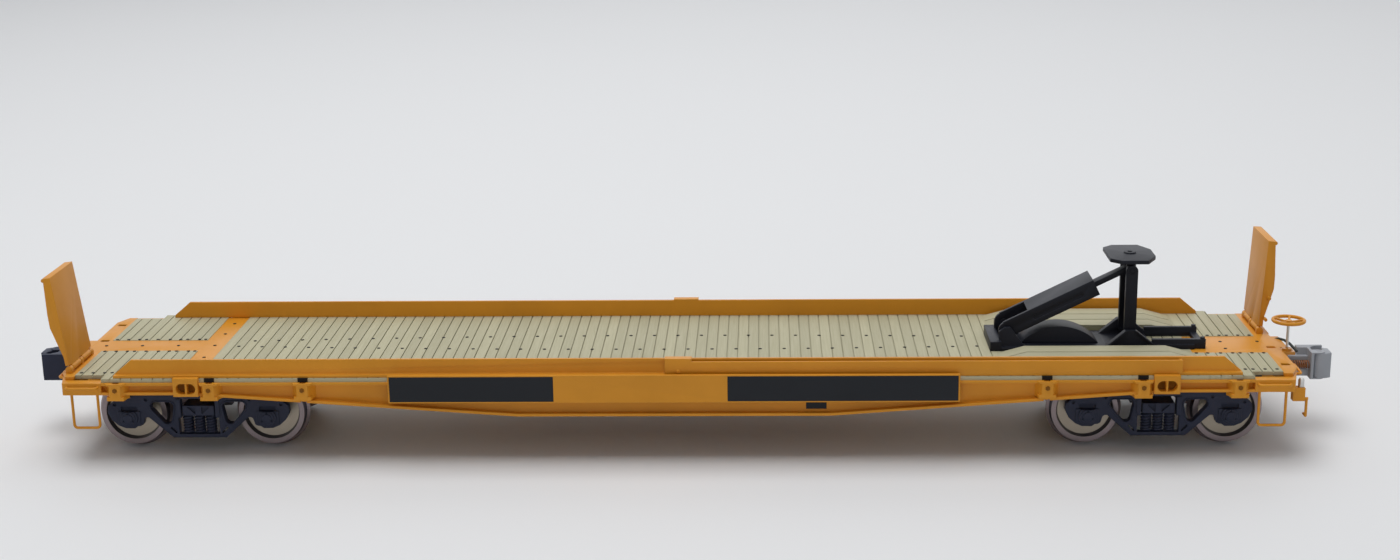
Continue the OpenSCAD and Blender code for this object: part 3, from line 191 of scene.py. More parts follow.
def clear_selection():
    """Leaves edit mode and selects nothing."""
    if bpy.context.object and bpy.context.object.mode != "OBJECT":
        bpy.ops.object.mode_set(mode="OBJECT")
    bpy.ops.object.select_all(action="DESELECT")


def choose(obj):
    """Makes obj the only selected object and the active one."""
    clear_selection()
    obj.select_set(True)
    bpy.context.view_layer.objects.active = obj


def edit_all(obj):
    """Enters edit mode on obj with all of it selected."""
    choose(obj)
    bpy.ops.object.mode_set(mode="EDIT")
    bpy.ops.mesh.select_mode(type="FACE")
    bpy.ops.mesh.select_all(action="SELECT")


def leave_edit():
    bpy.ops.object.mode_set(mode="OBJECT")


def edit_faces(obj, test):
    """Enters edit mode on obj with only the faces selected that test(centre, normal) takes."""
    choose(obj)
    bpy.ops.object.mode_set(mode="EDIT")
    bpy.ops.mesh.select_mode(type="FACE")
    bpy.ops.mesh.select_all(action="DESELECT")
    bpy.ops.object.mode_set(mode="OBJECT")
    for face in obj.data.polygons:
        face.select = test(face.center, face.normal)
    bpy.ops.object.mode_set(mode="EDIT")


def edit_points(obj, test):
    """Enters edit mode on obj with only the points selected that test(place) takes."""
    choose(obj)
    bpy.ops.object.mode_set(mode="EDIT")
    bpy.ops.mesh.select_mode(type="VERT")
    bpy.ops.mesh.select_all(action="DESELECT")
    bpy.ops.object.mode_set(mode="OBJECT")
    for point in obj.data.vertices:
        point.select = test(point.co)
    bpy.ops.object.mode_set(mode="EDIT")


def modify(obj, kind, **values):
    """Adds a modifier, sets its values and applies it."""
    choose(obj)
    step = obj.modifiers.new(kind.lower(), kind)
    for key, value in values.items():
        setattr(step, key, value)
    bpy.ops.object.modifier_apply(modifier=step.name)


def settle(obj):
    """Moves the object's place into its mesh, so that it sits at the origin."""
    choose(obj)
    bpy.ops.object.transform_apply(location=True, rotation=True, scale=True)


def copies(pattern, places, name):
    """Copies pattern to each place, a matrix each, and joins the copies to one piece."""
    made = []
    for place in places:
        copy = pattern.copy()
        copy.data = pattern.data.copy()
        bpy.context.scene.collection.objects.link(copy)
        copy.matrix_world = place
        made.append(copy)
    clear_selection()
    for copy in made:
        copy.select_set(True)
    bpy.context.view_layer.objects.active = made[0]
    bpy.ops.object.transform_apply(location=True, rotation=True, scale=True)
    if len(made) > 1:
        bpy.ops.object.join()
    piece = bpy.context.object
    piece.name = piece.data.name = name
    mesh = pattern.data
    bpy.data.objects.remove(pattern)
    bpy.data.meshes.remove(mesh)
    return piece


def dress(piece, body, finish, slot, *stands_for, angle=40):
    """Gives a finished piece its material, shading and body; the slot it is given is not used."""
    piece.data.materials.clear()
    piece.data.materials.append(bpy.data.materials[finish])
    choose(piece)
    bpy.ops.object.shade_smooth_by_angle(angle=math.radians(angle))
    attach(piece, body)
    if stands_for:
        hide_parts(*stands_for)
    return piece


def at(x, y, z, turn=None):
    """A place as a matrix, with an optional turn."""
    move = Matrix.Translation((x, y, z))
    return move @ turn if turn else move


def turned(degrees, axis):
    return Matrix.Rotation(math.radians(degrees), 4, axis)


ROOT = 0.08 * MM


def domed_head(radius, height, sides=8, root=ROOT):
    """A low round head on the XY plane, its root a little below it."""
    shoulder, rise = radius * 0.4, height * 0.35
    clear_selection()
    bpy.ops.mesh.primitive_cylinder_add(vertices=sides, radius=radius, depth=height + root,
                                        location=(0, 0, (height - root) / 2))
    head = bpy.context.object
    settle(head)
    edit_faces(head, lambda centre, normal: normal.z > 0.9)
    bpy.ops.mesh.inset(thickness=shoulder, depth=rise)
    leave_edit()
    return head


def hex_bolt(radius, height, root=ROOT):
    """A six-sided bolt head with a bevelled crown and a smaller end on it."""
    crown, crown_rise = radius * 0.14, height * 0.12
    shoulder, end_rise = radius * 0.32, height * 0.35
    clear_selection()
    bpy.ops.mesh.primitive_cylinder_add(vertices=6, radius=radius, depth=height + root,
                                        location=(0, 0, (height - root) / 2))
    bolt = bpy.context.object
    settle(bolt)
    edit_faces(bolt, lambda centre, normal: normal.z > 0.9)
    bpy.ops.mesh.inset(thickness=crown, depth=crown_rise)
    bpy.ops.mesh.inset(thickness=shoulder, depth=0)
    bpy.ops.mesh.extrude_region_move(TRANSFORM_OT_translate={"value": (0, 0, end_rise)})
    leave_edit()
    return bolt


def sunk_block(wide, deep, tall, sunk):
    """A small block about the origin whose two Y faces are sunk inside a narrow edge."""
    edge = min(wide, tall) * 0.1
    clear_selection()
    bpy.ops.mesh.primitive_cube_add(size=1)
    block = bpy.context.object
    block.scale = (wide, deep, tall)
    settle(block)
    edit_faces(block, lambda centre, normal: abs(normal.y) > 0.9)
    bpy.ops.mesh.inset(thickness=edge, depth=-sunk, use_individual=True)
    leave_edit()
    return block


def hole_floor(long, tall, thick, sides=28):
    """A flat plate about the origin in the XZ plane, with round ends and a dished middle."""
    edge, dish = tall * 0.06, thick * 0.3
    clear_selection()
    bpy.ops.mesh.primitive_cylinder_add(vertices=sides, radius=tall / 2, depth=thick,
                                        rotation=(math.radians(90), 0, 0))
    plate = bpy.context.object
    settle(plate)
    for side in (-1, 1):
        edit_points(plate, lambda point: point.x * side > 0)
        bpy.ops.transform.translate(value=(side * (long - tall) / 2, 0, 0))
        leave_edit()
    edit_faces(plate, lambda centre, normal: abs(normal.y) > 0.9)
    bpy.ops.mesh.inset(thickness=edge, depth=-dish, use_individual=True)
    leave_edit()
    return plate


def round_loop(corners, radius, steps=6):
    """Points round a loop of corners in the XZ plane, listed anticlockwise, with round ends."""
    points = []
    count = len(corners)
    for i, corner in enumerate(corners):
        before = Vector(corner) - Vector(corners[i - 1])
        after = Vector(corners[(i + 1) % count]) - Vector(corner)
        start = math.atan2(before.y, before.x) - math.pi / 2
        sweep = (math.atan2(after.y, after.x) - math.pi / 2 - start) % (2 * math.pi)
        for k in range(steps + 1):
            angle = start + sweep * k / steps
            points.append((corner[0] + radius * math.cos(angle),
                           corner[1] + radius * math.sin(angle)))
    return points


def wound_spring(radius, wire, turns, tall, sides=8, steps=20):
    """A wire section wound about Z, from the XY plane up to a height."""
    clear_selection()
    bpy.ops.mesh.primitive_circle_add(vertices=sides, radius=wire,
                                      location=(radius - wire, 0, wire),
                                      rotation=(math.radians(90), 0, 0))
    spring = bpy.context.object
    settle(spring)
    pitch = (tall - 2 * wire) / turns
    modify(spring, "SCREW", axis="Z", angle=math.radians(360), screw_offset=pitch,
           iterations=turns, steps=steps, render_steps=steps)
    edit_all(spring)
    bpy.ops.mesh.remove_doubles(threshold=WELD)
    bpy.ops.mesh.fill_holes(sides=0)
    bpy.ops.mesh.normals_make_consistent(inside=False)
    leave_edit()
    return spring


def drawn_wire(points, radius, closed=False, sides=2):
    """A round wire or bead along points, drawn as a chain of edges and then given its thickness."""
    clear_selection()
    bpy.ops.mesh.primitive_plane_add(size=MM, location=points[0])
    wire = bpy.context.object
    settle(wire)
    edit_all(wire)
    bpy.ops.mesh.merge(type="CENTER")
    bpy.ops.mesh.select_mode(type="VERT")
    bpy.ops.mesh.select_all(action="SELECT")
    for a, b in zip(points, points[1:]):
        step = Vector(b) - Vector(a)
        bpy.ops.mesh.extrude_region_move(TRANSFORM_OT_translate={"value": step})
    leave_edit()
    bpy.ops.object.convert(target="CURVE")
    wire = bpy.context.object
    wire.data.splines[0].use_cyclic_u = closed
    wire.data.bevel_depth = radius
    wire.data.bevel_resolution = sides
    wire.data.use_fill_caps = not closed
    bpy.ops.object.convert(target="MESH")
    wire = bpy.context.object
    edit_all(wire)
    bpy.ops.mesh.remove_doubles(threshold=WELD)
    bpy.ops.mesh.normals_make_consistent(inside=False)
    leave_edit()
    return wire


# Finishes

class Bench:
    """Adds and joins the nodes of one node tree, from left to right."""

    def __init__(self, tree):
        self.tree = tree
        self.column = 0

    def add(self, kind, inputs=None, **settings):
        node = self.tree.nodes.new(kind)
        node.location = (self.column * 190, -40 * (self.column % 5))
        self.column += 1
        for key, value in settings.items():
            setattr(node, key, value)
        for key, value in (inputs or {}).items():
            self.feed(value, node.inputs[key])
        return node

    def feed(self, value, socket):
        if isinstance(value, bpy.types.NodeSocket):
            self.tree.links.new(value, socket)
        else:
            socket.default_value = value

    def math(self, operation, a, b=0.0):
        return self.add("ShaderNodeMath", {0: a, 1: b}, operation=operation).outputs[0]

    def times(self, a, b):
        return self.math("MULTIPLY", a, b)

    def less(self, a, b):
        return self.math("SUBTRACT", a, b)

    def absolute(self, a):
        return self.math("ABSOLUTE", a)

    def mix(self, factor, a, b, blend="MIX"):
        return self.add("ShaderNodeMix", {0: factor, 6: a, 7: b}, data_type="RGBA",
                        blend_type=blend).outputs[2]

    def noise(self, place, scale, detail, **inputs):
        values = {"Vector": place, "Scale": scale, "Detail": detail, **inputs}
        return self.add("ShaderNodeTexNoise", values).outputs[0]

    def span(self, value, low, high, to_low=0.0, to_high=1.0):
        values = {0: value, 1: low, 2: high, 3: to_low, 4: to_high}
        return self.add("ShaderNodeMapRange", values).outputs[0]

    def group(self, name, inputs):
        node = self.add("ShaderNodeGroup")
        node.node_tree = bpy.data.node_groups[name]
        for key, value in inputs.items():
            self.feed(value, node.inputs[key])
        return node.outputs


def effect(name, ins, outs):
    """An empty shader node group with named sockets, its bench and its two ends."""
    tree = bpy.data.node_groups.new(name, "ShaderNodeTree")
    for label, kind, default in ins:
        socket = tree.interface.new_socket(name=label, in_out="INPUT", socket_type=kind)
        if default is not None:
            socket.default_value = default
    for label, kind in outs:
        tree.interface.new_socket(name=label, in_out="OUTPUT", socket_type=kind)
    bench = Bench(tree)
    return bench, bench.add("NodeGroupInput").outputs, tree.nodes.new("NodeGroupOutput").inputs


EDGE_NOISE = 420.0
FINE_GRAIN = 44.0
GRAIN_STRETCH = (1900.0, 60.0, 1900.0)
GRAIN_SHIFT = 0.7


def make_edge_rub_and_highlight():
    """Finds a piece's edges: a mask that noise breaks up, for rubbed paint and a painted highlight,
    and a normal that rounds them.
    """
    bench, ins, outs = effect("edge_wear", [("Vector", "NodeSocketVector", None),
                                            ("Radius", "NodeSocketFloat", 0.2 * MM)],
                              [("Mask", "NodeSocketFloat"), ("Normal", "NodeSocketVector")])
    soft = bench.add("ShaderNodeBevel", {"Radius": ins["Radius"]}, samples=4).outputs[0]
    hard = bench.add("ShaderNodeNewGeometry").outputs["Normal"]
    facing = bench.add("ShaderNodeVectorMath", {0: soft, 1: hard},
                       operation="DOT_PRODUCT").outputs["Value"]
    edge = bench.span(facing, 0.985, 0.80)
    broken = bench.noise(ins["Vector"], EDGE_NOISE, 3.0)
    bench.feed(bench.times(edge, bench.span(broken, 0.25, 0.62)), outs["Mask"])
    bench.feed(soft, outs["Normal"])


def make_cast_grain():
    """Slow tone and fine roughness of a painted, cast or rolled surface."""
    bench, ins, outs = effect("cast_grain", [("Vector", "NodeSocketVector", None),
                                             ("Scale", "NodeSocketFloat", 45.0)],
                              [("Tone", "NodeSocketFloat"), ("Height", "NodeSocketFloat")])
    slow = bench.noise(ins["Vector"], ins["Scale"], 4.0, Roughness=0.6)
    fine = bench.noise(ins["Vector"], bench.times(ins["Scale"], FINE_GRAIN), 2.0)
    bench.feed(bench.span(slow, 0.3, 0.7), outs["Tone"])
    bench.feed(fine, outs["Height"])


def make_board_tone():
    """One chance tone for each board, counted along a line, and the closeness to its edge."""
    bench, ins, outs = effect("board_tone", [("Place", "NodeSocketFloat", 0.0),
                                             ("Pitch", "NodeSocketFloat", 1.0 * MM)],
                              [("Tone", "NodeSocketFloat"), ("Edge", "NodeSocketFloat")])
    count = bench.math("DIVIDE", ins["Place"], ins["Pitch"])
    chance = bench.add("ShaderNodeTexWhiteNoise", {"W": bench.math("FLOOR", count)},
                       noise_dimensions="1D")
    bench.feed(chance.outputs["Value"], outs["Tone"])
    apart = bench.absolute(bench.less(bench.math("FRACT", count), 0.5))
    bench.feed(bench.span(apart, 0.36, 0.49), outs["Edge"])


def make_wood_grain():
    """Streaks along the Y axis of the place it is given, with a height for their relief."""
    bench, ins, outs = effect("wood_grain", [("Vector", "NodeSocketVector", None),
                                             ("Shift", "NodeSocketFloat", 0.0)],
                              [("Streak", "NodeSocketFloat"), ("Height", "NodeSocketFloat")])
    shift = bench.add("ShaderNodeCombineXYZ", {"Y": bench.times(ins["Shift"], GRAIN_SHIFT)})
    place = bench.add("ShaderNodeVectorMath", {0: ins["Vector"], 1: shift.outputs[0]},
                      operation="ADD").outputs[0]
    long = bench.add("ShaderNodeMapping", {"Vector": place, "Scale": GRAIN_STRETCH}).outputs[0]
    streak = bench.noise(long, 1.0, 5.0, Roughness=0.62, Distortion=0.5)
    bench.feed(bench.span(streak, 0.32, 0.72), outs["Streak"])
    bench.feed(streak, outs["Height"])


def start_finish(name):
    """A new material, its bench and the Object coordinates."""
    finish = bpy.data.materials.new(name)
    finish.use_nodes = True
    finish.node_tree.nodes.clear()
    bench = Bench(finish.node_tree)
    return bench, bench.add("ShaderNodeTexCoord").outputs["Object"]


BUMP_DEPTH = 0.06 * MM


def end_finish(bench, colour, rough, height, strength, normal=None, metallic=0.0, specular=0.5):
    """The shader that a finish ends in."""
    bump = bench.add("ShaderNodeBump", {"Strength": strength, "Distance": BUMP_DEPTH,
                                        "Height": height})
    if normal is not None:
        bench.feed(normal, bump.inputs["Normal"])
    shader = bench.add("ShaderNodeBsdfPrincipled", {"Base Color": colour, "Roughness": rough,
                                                    "Normal": bump.outputs[0], "Metallic": metallic,
                                                    "Specular IOR Level": specular})
    out = bench.add("ShaderNodeOutputMaterial")
    bench.feed(shader.outputs[0], out.inputs["Surface"])


def rgb(colour, level=1.0):
    return (colour[0] * level, colour[1] * level, colour[2] * level, 1.0)


def coated(name, colour, rub_highlight_tone, rough, scale=45.0, strength=0.12, wear=0.55, radius=0.22 * MM,
           spread=0.10, metallic=0.0, specular=0.5):
    """Paint or metal with slow changes of tone, fine grain and rounded edges, lighter by rubbed
    paint and a painted highlight.
    """
    bench, place = start_finish(name)
    grain = bench.group("cast_grain", {"Vector": place, "Scale": scale})
    edge = bench.group("edge_wear", {"Vector": place, "Radius": radius})
    base = bench.mix(grain["Tone"], rgb(colour, 1.0 - spread), rgb(colour, 1.0 + spread * 0.6))
    # Edges lean to the edge colour: rubbed paint together with a painted highlight
    shown = bench.mix(bench.times(edge["Mask"], wear), base, rgb(rub_highlight_tone))
    matt = bench.span(grain["Tone"], 0.0, 1.0, rough + 0.07, rough - 0.05)
    end_finish(bench, shown, matt, grain["Height"], strength, edge["Normal"], metallic, specular)


def boards_finish(name, start, pitch, lengthwise=False):
    """Painted boards, each with its own tone, counted from start by X, or else out from Y = 0."""
    c = colours()
    bench, place = start_finish(name)
    parts = bench.add("ShaderNodeSeparateXYZ", {0: place}).outputs
    across = bench.absolute(parts[1]) if lengthwise else parts[0]
    board = bench.group("board_tone", {"Place": bench.less(across, start), "Pitch": pitch})
    turn = (0.0, 0.0, math.radians(90) if lengthwise else 0.0)
    line = bench.add("ShaderNodeMapping", {"Vector": place, "Rotation": turn}).outputs[0]
    grain = bench.group("wood_grain", {"Vector": line, "Shift": board["Tone"]})
    slow = bench.group("cast_grain", {"Vector": place, "Scale": 38.0})
    base = bench.mix(board["Tone"], rgb(c.wood, 0.90), rgb(c.wood, 1.06))
    streaked = bench.mix(bench.times(grain["Streak"], 0.34), base, rgb(c.wood_dark))
    stained = bench.mix(bench.times(slow["Tone"], 0.16), streaked, rgb(c.wood_dark, 1.2))
    shown = bench.mix(bench.times(board["Edge"], 0.30), stained, rgb(c.wood_dark, 0.8))
    matt = bench.span(grain["Streak"], 0.0, 1.0, 0.56, 0.70)
    end_finish(bench, shown, matt, grain["Height"], 0.35, specular=0.35)


RING_NOISE = 5200.0
FACE_DEPTH = 0.04 * MM
STEP_MORE = 0.03 * MM
TREAD_BELOW = 0.2 * MM
TREAD_ABOVE = 0.12 * MM
WHEEL_EDGE = 0.15 * MM
STAFF_EDGE = 0.12 * MM


def wheel_finish(name):
    """Nickel turned about the axle: fine rings, painted shade on the step inside the rim, and a
    darker tread.
    """
    c = colours()
    bench, place = start_finish(name)
    parts = bench.add("ShaderNodeSeparateXYZ", {0: place}).outputs
    along = bench.absolute(bench.less(bench.absolute(parts[0]), TRUCK_X["b"]))
    flat = bench.add("ShaderNodeCombineXYZ", {"X": bench.less(along, AXLE_BASE),
                                              "Y": bench.less(parts[2], AXLE_Z)}).outputs[0]
    radius = bench.add("ShaderNodeVectorMath", {0: flat}, operation="LENGTH").outputs["Value"]
    inward = bench.less(WHEEL_FACE, bench.absolute(parts[1]))
    rings = bench.add("ShaderNodeTexNoise", {"W": bench.times(radius, RING_NOISE), "Scale": 1.0,
                                             "Detail": 3.0}, noise_dimensions="1D").outputs[0]
    grain = bench.group("cast_grain", {"Vector": place, "Scale": 70.0})
    edge = bench.group("edge_wear", {"Vector": place, "Radius": WHEEL_EDGE})

    def between(low, high):
        return bench.times(bench.math("GREATER_THAN", radius, low),
                           bench.math("LESS_THAN", radius, high))

    metal = bench.mix(bench.math("GREATER_THAN", radius, RIM_IN), rgb(c.wheel), rgb(c.rim))
    base = bench.mix(bench.times(rings, 0.3), metal, rgb(c.truck), "MULTIPLY")
    behind = bench.math("GREATER_THAN", inward, FACE_DEPTH)
    # Painted shade on the step's wall inside the rim, and a darker band on the tread
    step = between(RIM_IN - RIM_SLOPE, RIM_IN + STEP_MORE)
    tread = between(TREAD_R - TREAD_BELOW, TREAD_R + TREAD_ABOVE)
    dark = bench.times(bench.math("MAXIMUM", step, tread), behind)
    shown = bench.mix(bench.times(dark, 0.88), base, rgb(c.truck, 1.2))
    soiled = bench.mix(bench.times(grain["Tone"], 0.18), shown, rgb(c.soil))
    matt = bench.span(rings, 0.2, 0.8, 0.34, 0.46)
    end_finish(bench, soiled, matt, rings, 0.10, edge["Normal"], metallic=0.8)


def staff_finish(name):
    """Steel rod, painted up to the top of the ratchet that stands on the deck."""
    c = colours()
    bench, place = start_finish(name)
    grain = bench.group("cast_grain", {"Vector": place, "Scale": 90.0})
    edge = bench.group("edge_wear", {"Vector": place, "Radius": STAFF_EDGE})
    high = bench.add("ShaderNodeSeparateXYZ", {0: place}).outputs[2]
    bare = bench.math("GREATER_THAN", high, STEEL_TOP + STAFF_FOOT)
    metal = bench.mix(grain["Tone"], rgb(c.steel, 0.8), rgb(c.steel))
    shown = bench.mix(bare, rgb(c.paint, 0.8), metal)
    matt = bench.span(grain["Tone"], 0.0, 1.0, 0.42, 0.32)
    end_finish(bench, shown, matt, grain["Height"], 0.08, edge["Normal"], bench.times(bare, 0.85))


FINISH_OF = {
    "deck_boards": ["main_deck", "end_deck"],
    "planks": ["wheel_planks"],
    "panel_black": ["paint_panels"],
    "hitch_paint": ["hitch_base", "hitch_saddle", "hitch_post", "hitch_head", "strut_channel",
                    "strut_rod"],
    "wheel_nickel": ["wheels_1", "wheels_2", "wheels_3", "wheels_4"],
    "axle_paint": ["axle_1", "axle_2", "axle_3", "axle_4"],
    "bright_steel": ["kingpin_screws"],
    "brake_staff": ["brake_staff"],
    "coupler_black": ["coupler_a", "knuckle_a"],
    "coupler_casting": ["coupler_b", "knuckle_b"],
    "copper_wire": ["coupler_spring_a", "coupler_spring_b"],
    "truck_casting": ["draft_boxes", "brake_gear", "truck_a_frame_near", "truck_a_frame_far",
                      "truck_a_bolster", "truck_a_springs", "truck_b_frame_near",
                      "truck_b_frame_far", "truck_b_bolster", "truck_b_springs"],
}
SLOT_OF = {p["node"]: p["material_slot"] for p in frame["record"]["subparts"]}

# Each coat of paint or metal: its colour, the colour of its edges, which is rubbed paint with a
# painted highlight, and its other values
COATS = {
    "body_paint": ("paint", "paint_rub_highlight_tone",
                   dict(rough=0.42, strength=0.10, wear=0.45, spread=0.08, specular=0.28)),
    "panel_black": ("panel", "hitch_rub_highlight_tone",
                    dict(rough=0.45, strength=0.08, wear=0.25, specular=0.22)),
    "hitch_paint": ("hitch", "hitch_rub_highlight_tone",
                    dict(rough=0.44, strength=0.12, wear=0.7, spread=0.2, specular=0.16)),
    "truck_casting": ("truck", "truck_worn",
                      dict(rough=0.46, scale=70.0, strength=0.22, wear=0.75, radius=0.28 * MM,
                           spread=0.25, specular=0.24)),
    "axle_paint": ("truck", "truck_worn", dict(rough=0.44, strength=0.1, wear=0.4, specular=0.2)),
    "coupler_black": ("truck", "truck_worn",
                      dict(rough=0.46, scale=80.0, strength=0.22, wear=0.6, spread=0.25,
                           specular=0.22)),
    "coupler_casting": ("grey", "steel",
                        dict(rough=0.46, scale=80.0, strength=0.30, wear=0.12, specular=0.30)),
    "bright_steel": ("steel", "steel", dict(rough=0.30, scale=90.0, strength=0.08, metallic=0.9)),
    "copper_wire": ("copper", "steel",
                    dict(rough=0.34, scale=120.0, strength=0.06, wear=0.1, metallic=0.8)),
    # Dark nail heads, also the painted shadow in the stake slot mouths and on the end slot floor
    "nail_black": ("nail", "hitch_rub_highlight_tone",
                   dict(rough=0.55, scale=200.0, strength=0.05, wear=0.15, specular=0.15)),
    # Dark brown of the pocket bolts and the painted shade on each rope hole's floor
    "recess_paint": ("recess", "paint", dict(rough=0.55, strength=0.10, wear=0.2, specular=0.15)),
    "rod_green": ("rod", "hitch_rub_highlight_tone",
                  dict(rough=0.55, scale=160.0, strength=0.15, wear=0.1, specular=0.2)),
}
PLANK_START = 9.4 * MM
PLANK_PITCH = 5.45 * MM


def finish_of(node):
    return next((f for f, nodes in FINISH_OF.items() if node in nodes), "body_paint")


class FLATCAR_OT_finishes(bpy.types.Operator):
    """Makes every finish and gives each CAD node its own"""
    bl_idname = "flatcar.finishes"
    bl_label = "Finishes"

    def execute(self, context):
        make_edge_rub_and_highlight()
        make_cast_grain()
        make_board_tone()
        make_wood_grain()
        for name, (colour, rub_highlight_tone, values) in COATS.items():
            coated(name, getattr(colours(), colour), getattr(colours(), rub_highlight_tone), **values)
        boards_finish("deck_boards", DECK_FROM, sizes().board_pitch)
        boards_finish("planks", PLANK_START, PLANK_PITCH, lengthwise=True)
        staff_finish("brake_staff")
        wheel_finish("wheel_nickel")
        for node, obj in NODES.items():
            obj.data.materials.clear()
            obj.data.materials.append(bpy.data.materials[finish_of(node)])
        return {"FINISHED"}


# Pieces

ROUNDED = {
    "sheet": ["guard_rail_near", "guard_rail_far", "name_boards", "bridge_plate_a",
              "bridge_plate_b", "bridge_hinges", "deck_plates", "wheel_planks", "end_deck",
              "brake_wheel"],
    "cast": ["side_sill_near", "side_sill_far", "end_sill_a", "end_sill_b", "hitch_base",
             "hitch_post", "hitch_head", "hitch_saddle", "strut_channel", "strut_rod",
             "coupler_a", "coupler_b", "knuckle_a", "knuckle_b", "truck_a_frame_near",
             "truck_a_frame_far", "truck_b_frame_near", "truck_b_frame_far",
             "truck_a_bolster", "truck_b_bolster"],
}
FLAT_ANGLE = math.radians(0.6)
EDGE_ANGLE = math.radians(32)


class FLATCAR_OT_soft_edges(bpy.types.Operator):
    """Stands a copy with rounded edges in for each plainly cut solid"""
    bl_idname = "flatcar.soft_edges"
    bl_label = "Rounded edges"

    def execute(self, context):
        for kind, nodes in ROUNDED.items():
            width = sizes().edge_round if kind == "sheet" else sizes().cast_round
            for node in nodes:
                copy = NODES[node].copy()
                copy.data = NODES[node].data.copy()
                copy.parent = None
                for key in [k for k in copy.keys() if k.startswith("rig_")]:
                    del copy[key]
                copy.name = copy.data.name = node + "_rounded"
                context.scene.collection.objects.link(copy)
                edit_all(copy)
                bpy.ops.mesh.customdata_custom_splitnormals_clear()
                bpy.ops.mesh.remove_doubles(threshold=SOLID_WELD)
                bpy.ops.mesh.dissolve_limited(angle_limit=FLAT_ANGLE)
                leave_edit()
                modify(copy, "BEVEL", width=width, segments=2, limit_method="ANGLE",
                       angle_limit=EDGE_ANGLE, profile=0.6, use_clamp_overlap=True,
                       miter_outer="MITER_ARC")
                edit_all(copy)
                bpy.ops.mesh.remove_doubles(threshold=CLEAN_WELD)
                bpy.ops.mesh.dissolve_degenerate(threshold=CLEAN_WELD)
                leave_edit()
                dress(copy, BODY_OF[node], finish_of(node), SLOT_OF[node], node, angle=34)
        return {"FINISHED"}


# Nails over the centre sill: the rows' middle line, how they bow, their last X and their first X
ROWS_MIDDLE = 1.1 * MM
ROWS_BOW = 0.29
ROWS_LAST = 80 * MM
ROW_STARTS = {-1: -3.3 * MM, 1: -0.15 * MM}
# Nails of the board patches, in millimetres: their places in from the patch's outer end, and for
# each end of the car its rows, each a Y and the length that it reaches
END_NAILS = (1.1, 4.1, 7.1, 9.0, 12.1, 15.4, 18.3, 20.2, 23.4, 25.1)
END_ROWS = {-1: ((-24.1, 26), (-5.4, 26), (5.4, 26)), 1: ((-24.1, 10), (-10.3, 19), (5.6, 13))}


class FLATCAR_OT_deck_nails(bpy.types.Operator):
    """Drives the dark nails into the deck boards"""
    bl_idname = "flatcar.deck_nails"
    bl_label = "Deck nails"

    def execute(self, context):
        s = sizes()
        head = domed_head(s.nail_radius, s.nail_height)
        piece = copies(head, self.rows(s) + self.ends(), "deck_nails")
        dress(piece, "car", "nail_black", "deck_wood")
        return {"FINISHED"}

    def rows(self, s):
        """Two staggered rows over the centre sill, which is widest halfway along the car."""
        places = []
        for side, start in ROW_STARTS.items():
            first = math.ceil((DECK_FROM + MM - start) / s.nail_pitch)
            for i in range(first, int((ROWS_LAST - start) / s.nail_pitch) + 1):
                x = start + i * s.nail_pitch
                places.append(at(x, ROWS_MIDDLE + side * (s.nail_row - ROWS_BOW * x * x), DECK_TOP))
        return places

    def ends(self):
        """Nails along the edges of the board patches, counted in from their outer ends."""
        return [at(end * (PATCH_END - step * MM), y * MM, DECK_TOP)
                for end, rows in END_ROWS.items() for y, reach in rows
                for step in END_NAILS if step < reach]


RIVETS = [(-152.7, 0.0), (-143.0, 0.0), (-133.3, 0.0),
          (-123.5, -20.7), (-123.5, -10.7), (-123.5, 0.0), (-123.5, 10.7), (-123.5, 20.7),
          (142.6, 0.2), (152.2, 0.2), (142.6, -6.0)]


class FLATCAR_OT_strip_rivets(bpy.types.Operator):
    """Sets the rivets in the steel strips of the deck"""
    bl_idname = "flatcar.strip_rivets"
    bl_label = "Strip rivets"

    def execute(self, context):
        s = sizes()
        places = [at(x * MM, y * MM, STEEL_TOP) for x, y in RIVETS]
        rivet = domed_head(s.rivet_radius, s.nail_height, sides=10)
        dress(copies(rivet, places, "strip_rivets"), "car", "nail_black", "body_orange")
        return {"FINISHED"}


SPRING_RADIUS = 1.42 * MM
INNER_SHARE = 0.72
INNER_MORE_TURNS = 4
WIRE_ANGLE = 60


class FLATCAR_OT_truck_springs(bpy.types.Operator):
    """Winds the coil springs of both trucks, an inner one in each outer one"""
    bl_idname = "flatcar.truck_springs"
    bl_label = "Truck springs"

    def execute(self, context):
        s = sizes()
        for end in "ab":
            node = f"truck_{end}_springs"
            low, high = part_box(node)
            tall = high.z - low.z
            reach = (high.x - low.x) / 2 - SPRING_RADIUS
            places = [at(TRUCK_X[end] + k * reach, y, low.z) for k in (-1, 0, 1)
                      for y in (low.y + SPRING_RADIUS, high.y - SPRING_RADIUS)]
            outer = wound_spring(SPRING_RADIUS, s.spring_wire, s.spring_turns, tall)
            outer = copies(outer, places, f"truck_{end}_wound_springs")
            dress(outer, f"truck_{end}", "truck_casting", "truck_black", node, angle=WIRE_ANGLE)
            inner = wound_spring(SPRING_RADIUS * INNER_SHARE, s.spring_wire,
                                 s.spring_turns + INNER_MORE_TURNS, tall)
            inner = copies(inner, places, f"truck_{end}_inner_springs")
            dress(inner, f"truck_{end}", "truck_casting", "truck_black", angle=WIRE_ANGLE)
        return {"FINISHED"}


class FLATCAR_OT_coupler_springs(bpy.types.Operator):
    """Winds the small copper springs of the couplers"""
    bl_idname = "flatcar.coupler_springs"
    bl_label = "Coupler springs"

    def execute(self, context):
        s = sizes()
        for end in "ab":
            node = f"coupler_spring_{end}"
            low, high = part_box(node)
            spring = wound_spring((high.z - low.z) / 2, s.coil_wire, s.coil_turns, high.x - low.x)
            place = at(low.x, (low.y + high.y) / 2, (low.z + high.z) / 2, turned(90, "Y"))
            piece = copies(spring, [place], f"coupler_{end}_wound_spring")
            dress(piece, BODY_OF[node], "copper_wire", "spring_copper", node, angle=WIRE_ANGLE)
        return {"FINISHED"}


SIDES = (-1, 1)
POCKET_X = (93.4 * MM, 117.2 * MM, 141.0 * MM)
BOLT_Z = 19.0 * MM + TREAD_Z
BOLT_HEIGHT = 0.20 * MM
BOLT_SEAT = 0.01 * MM
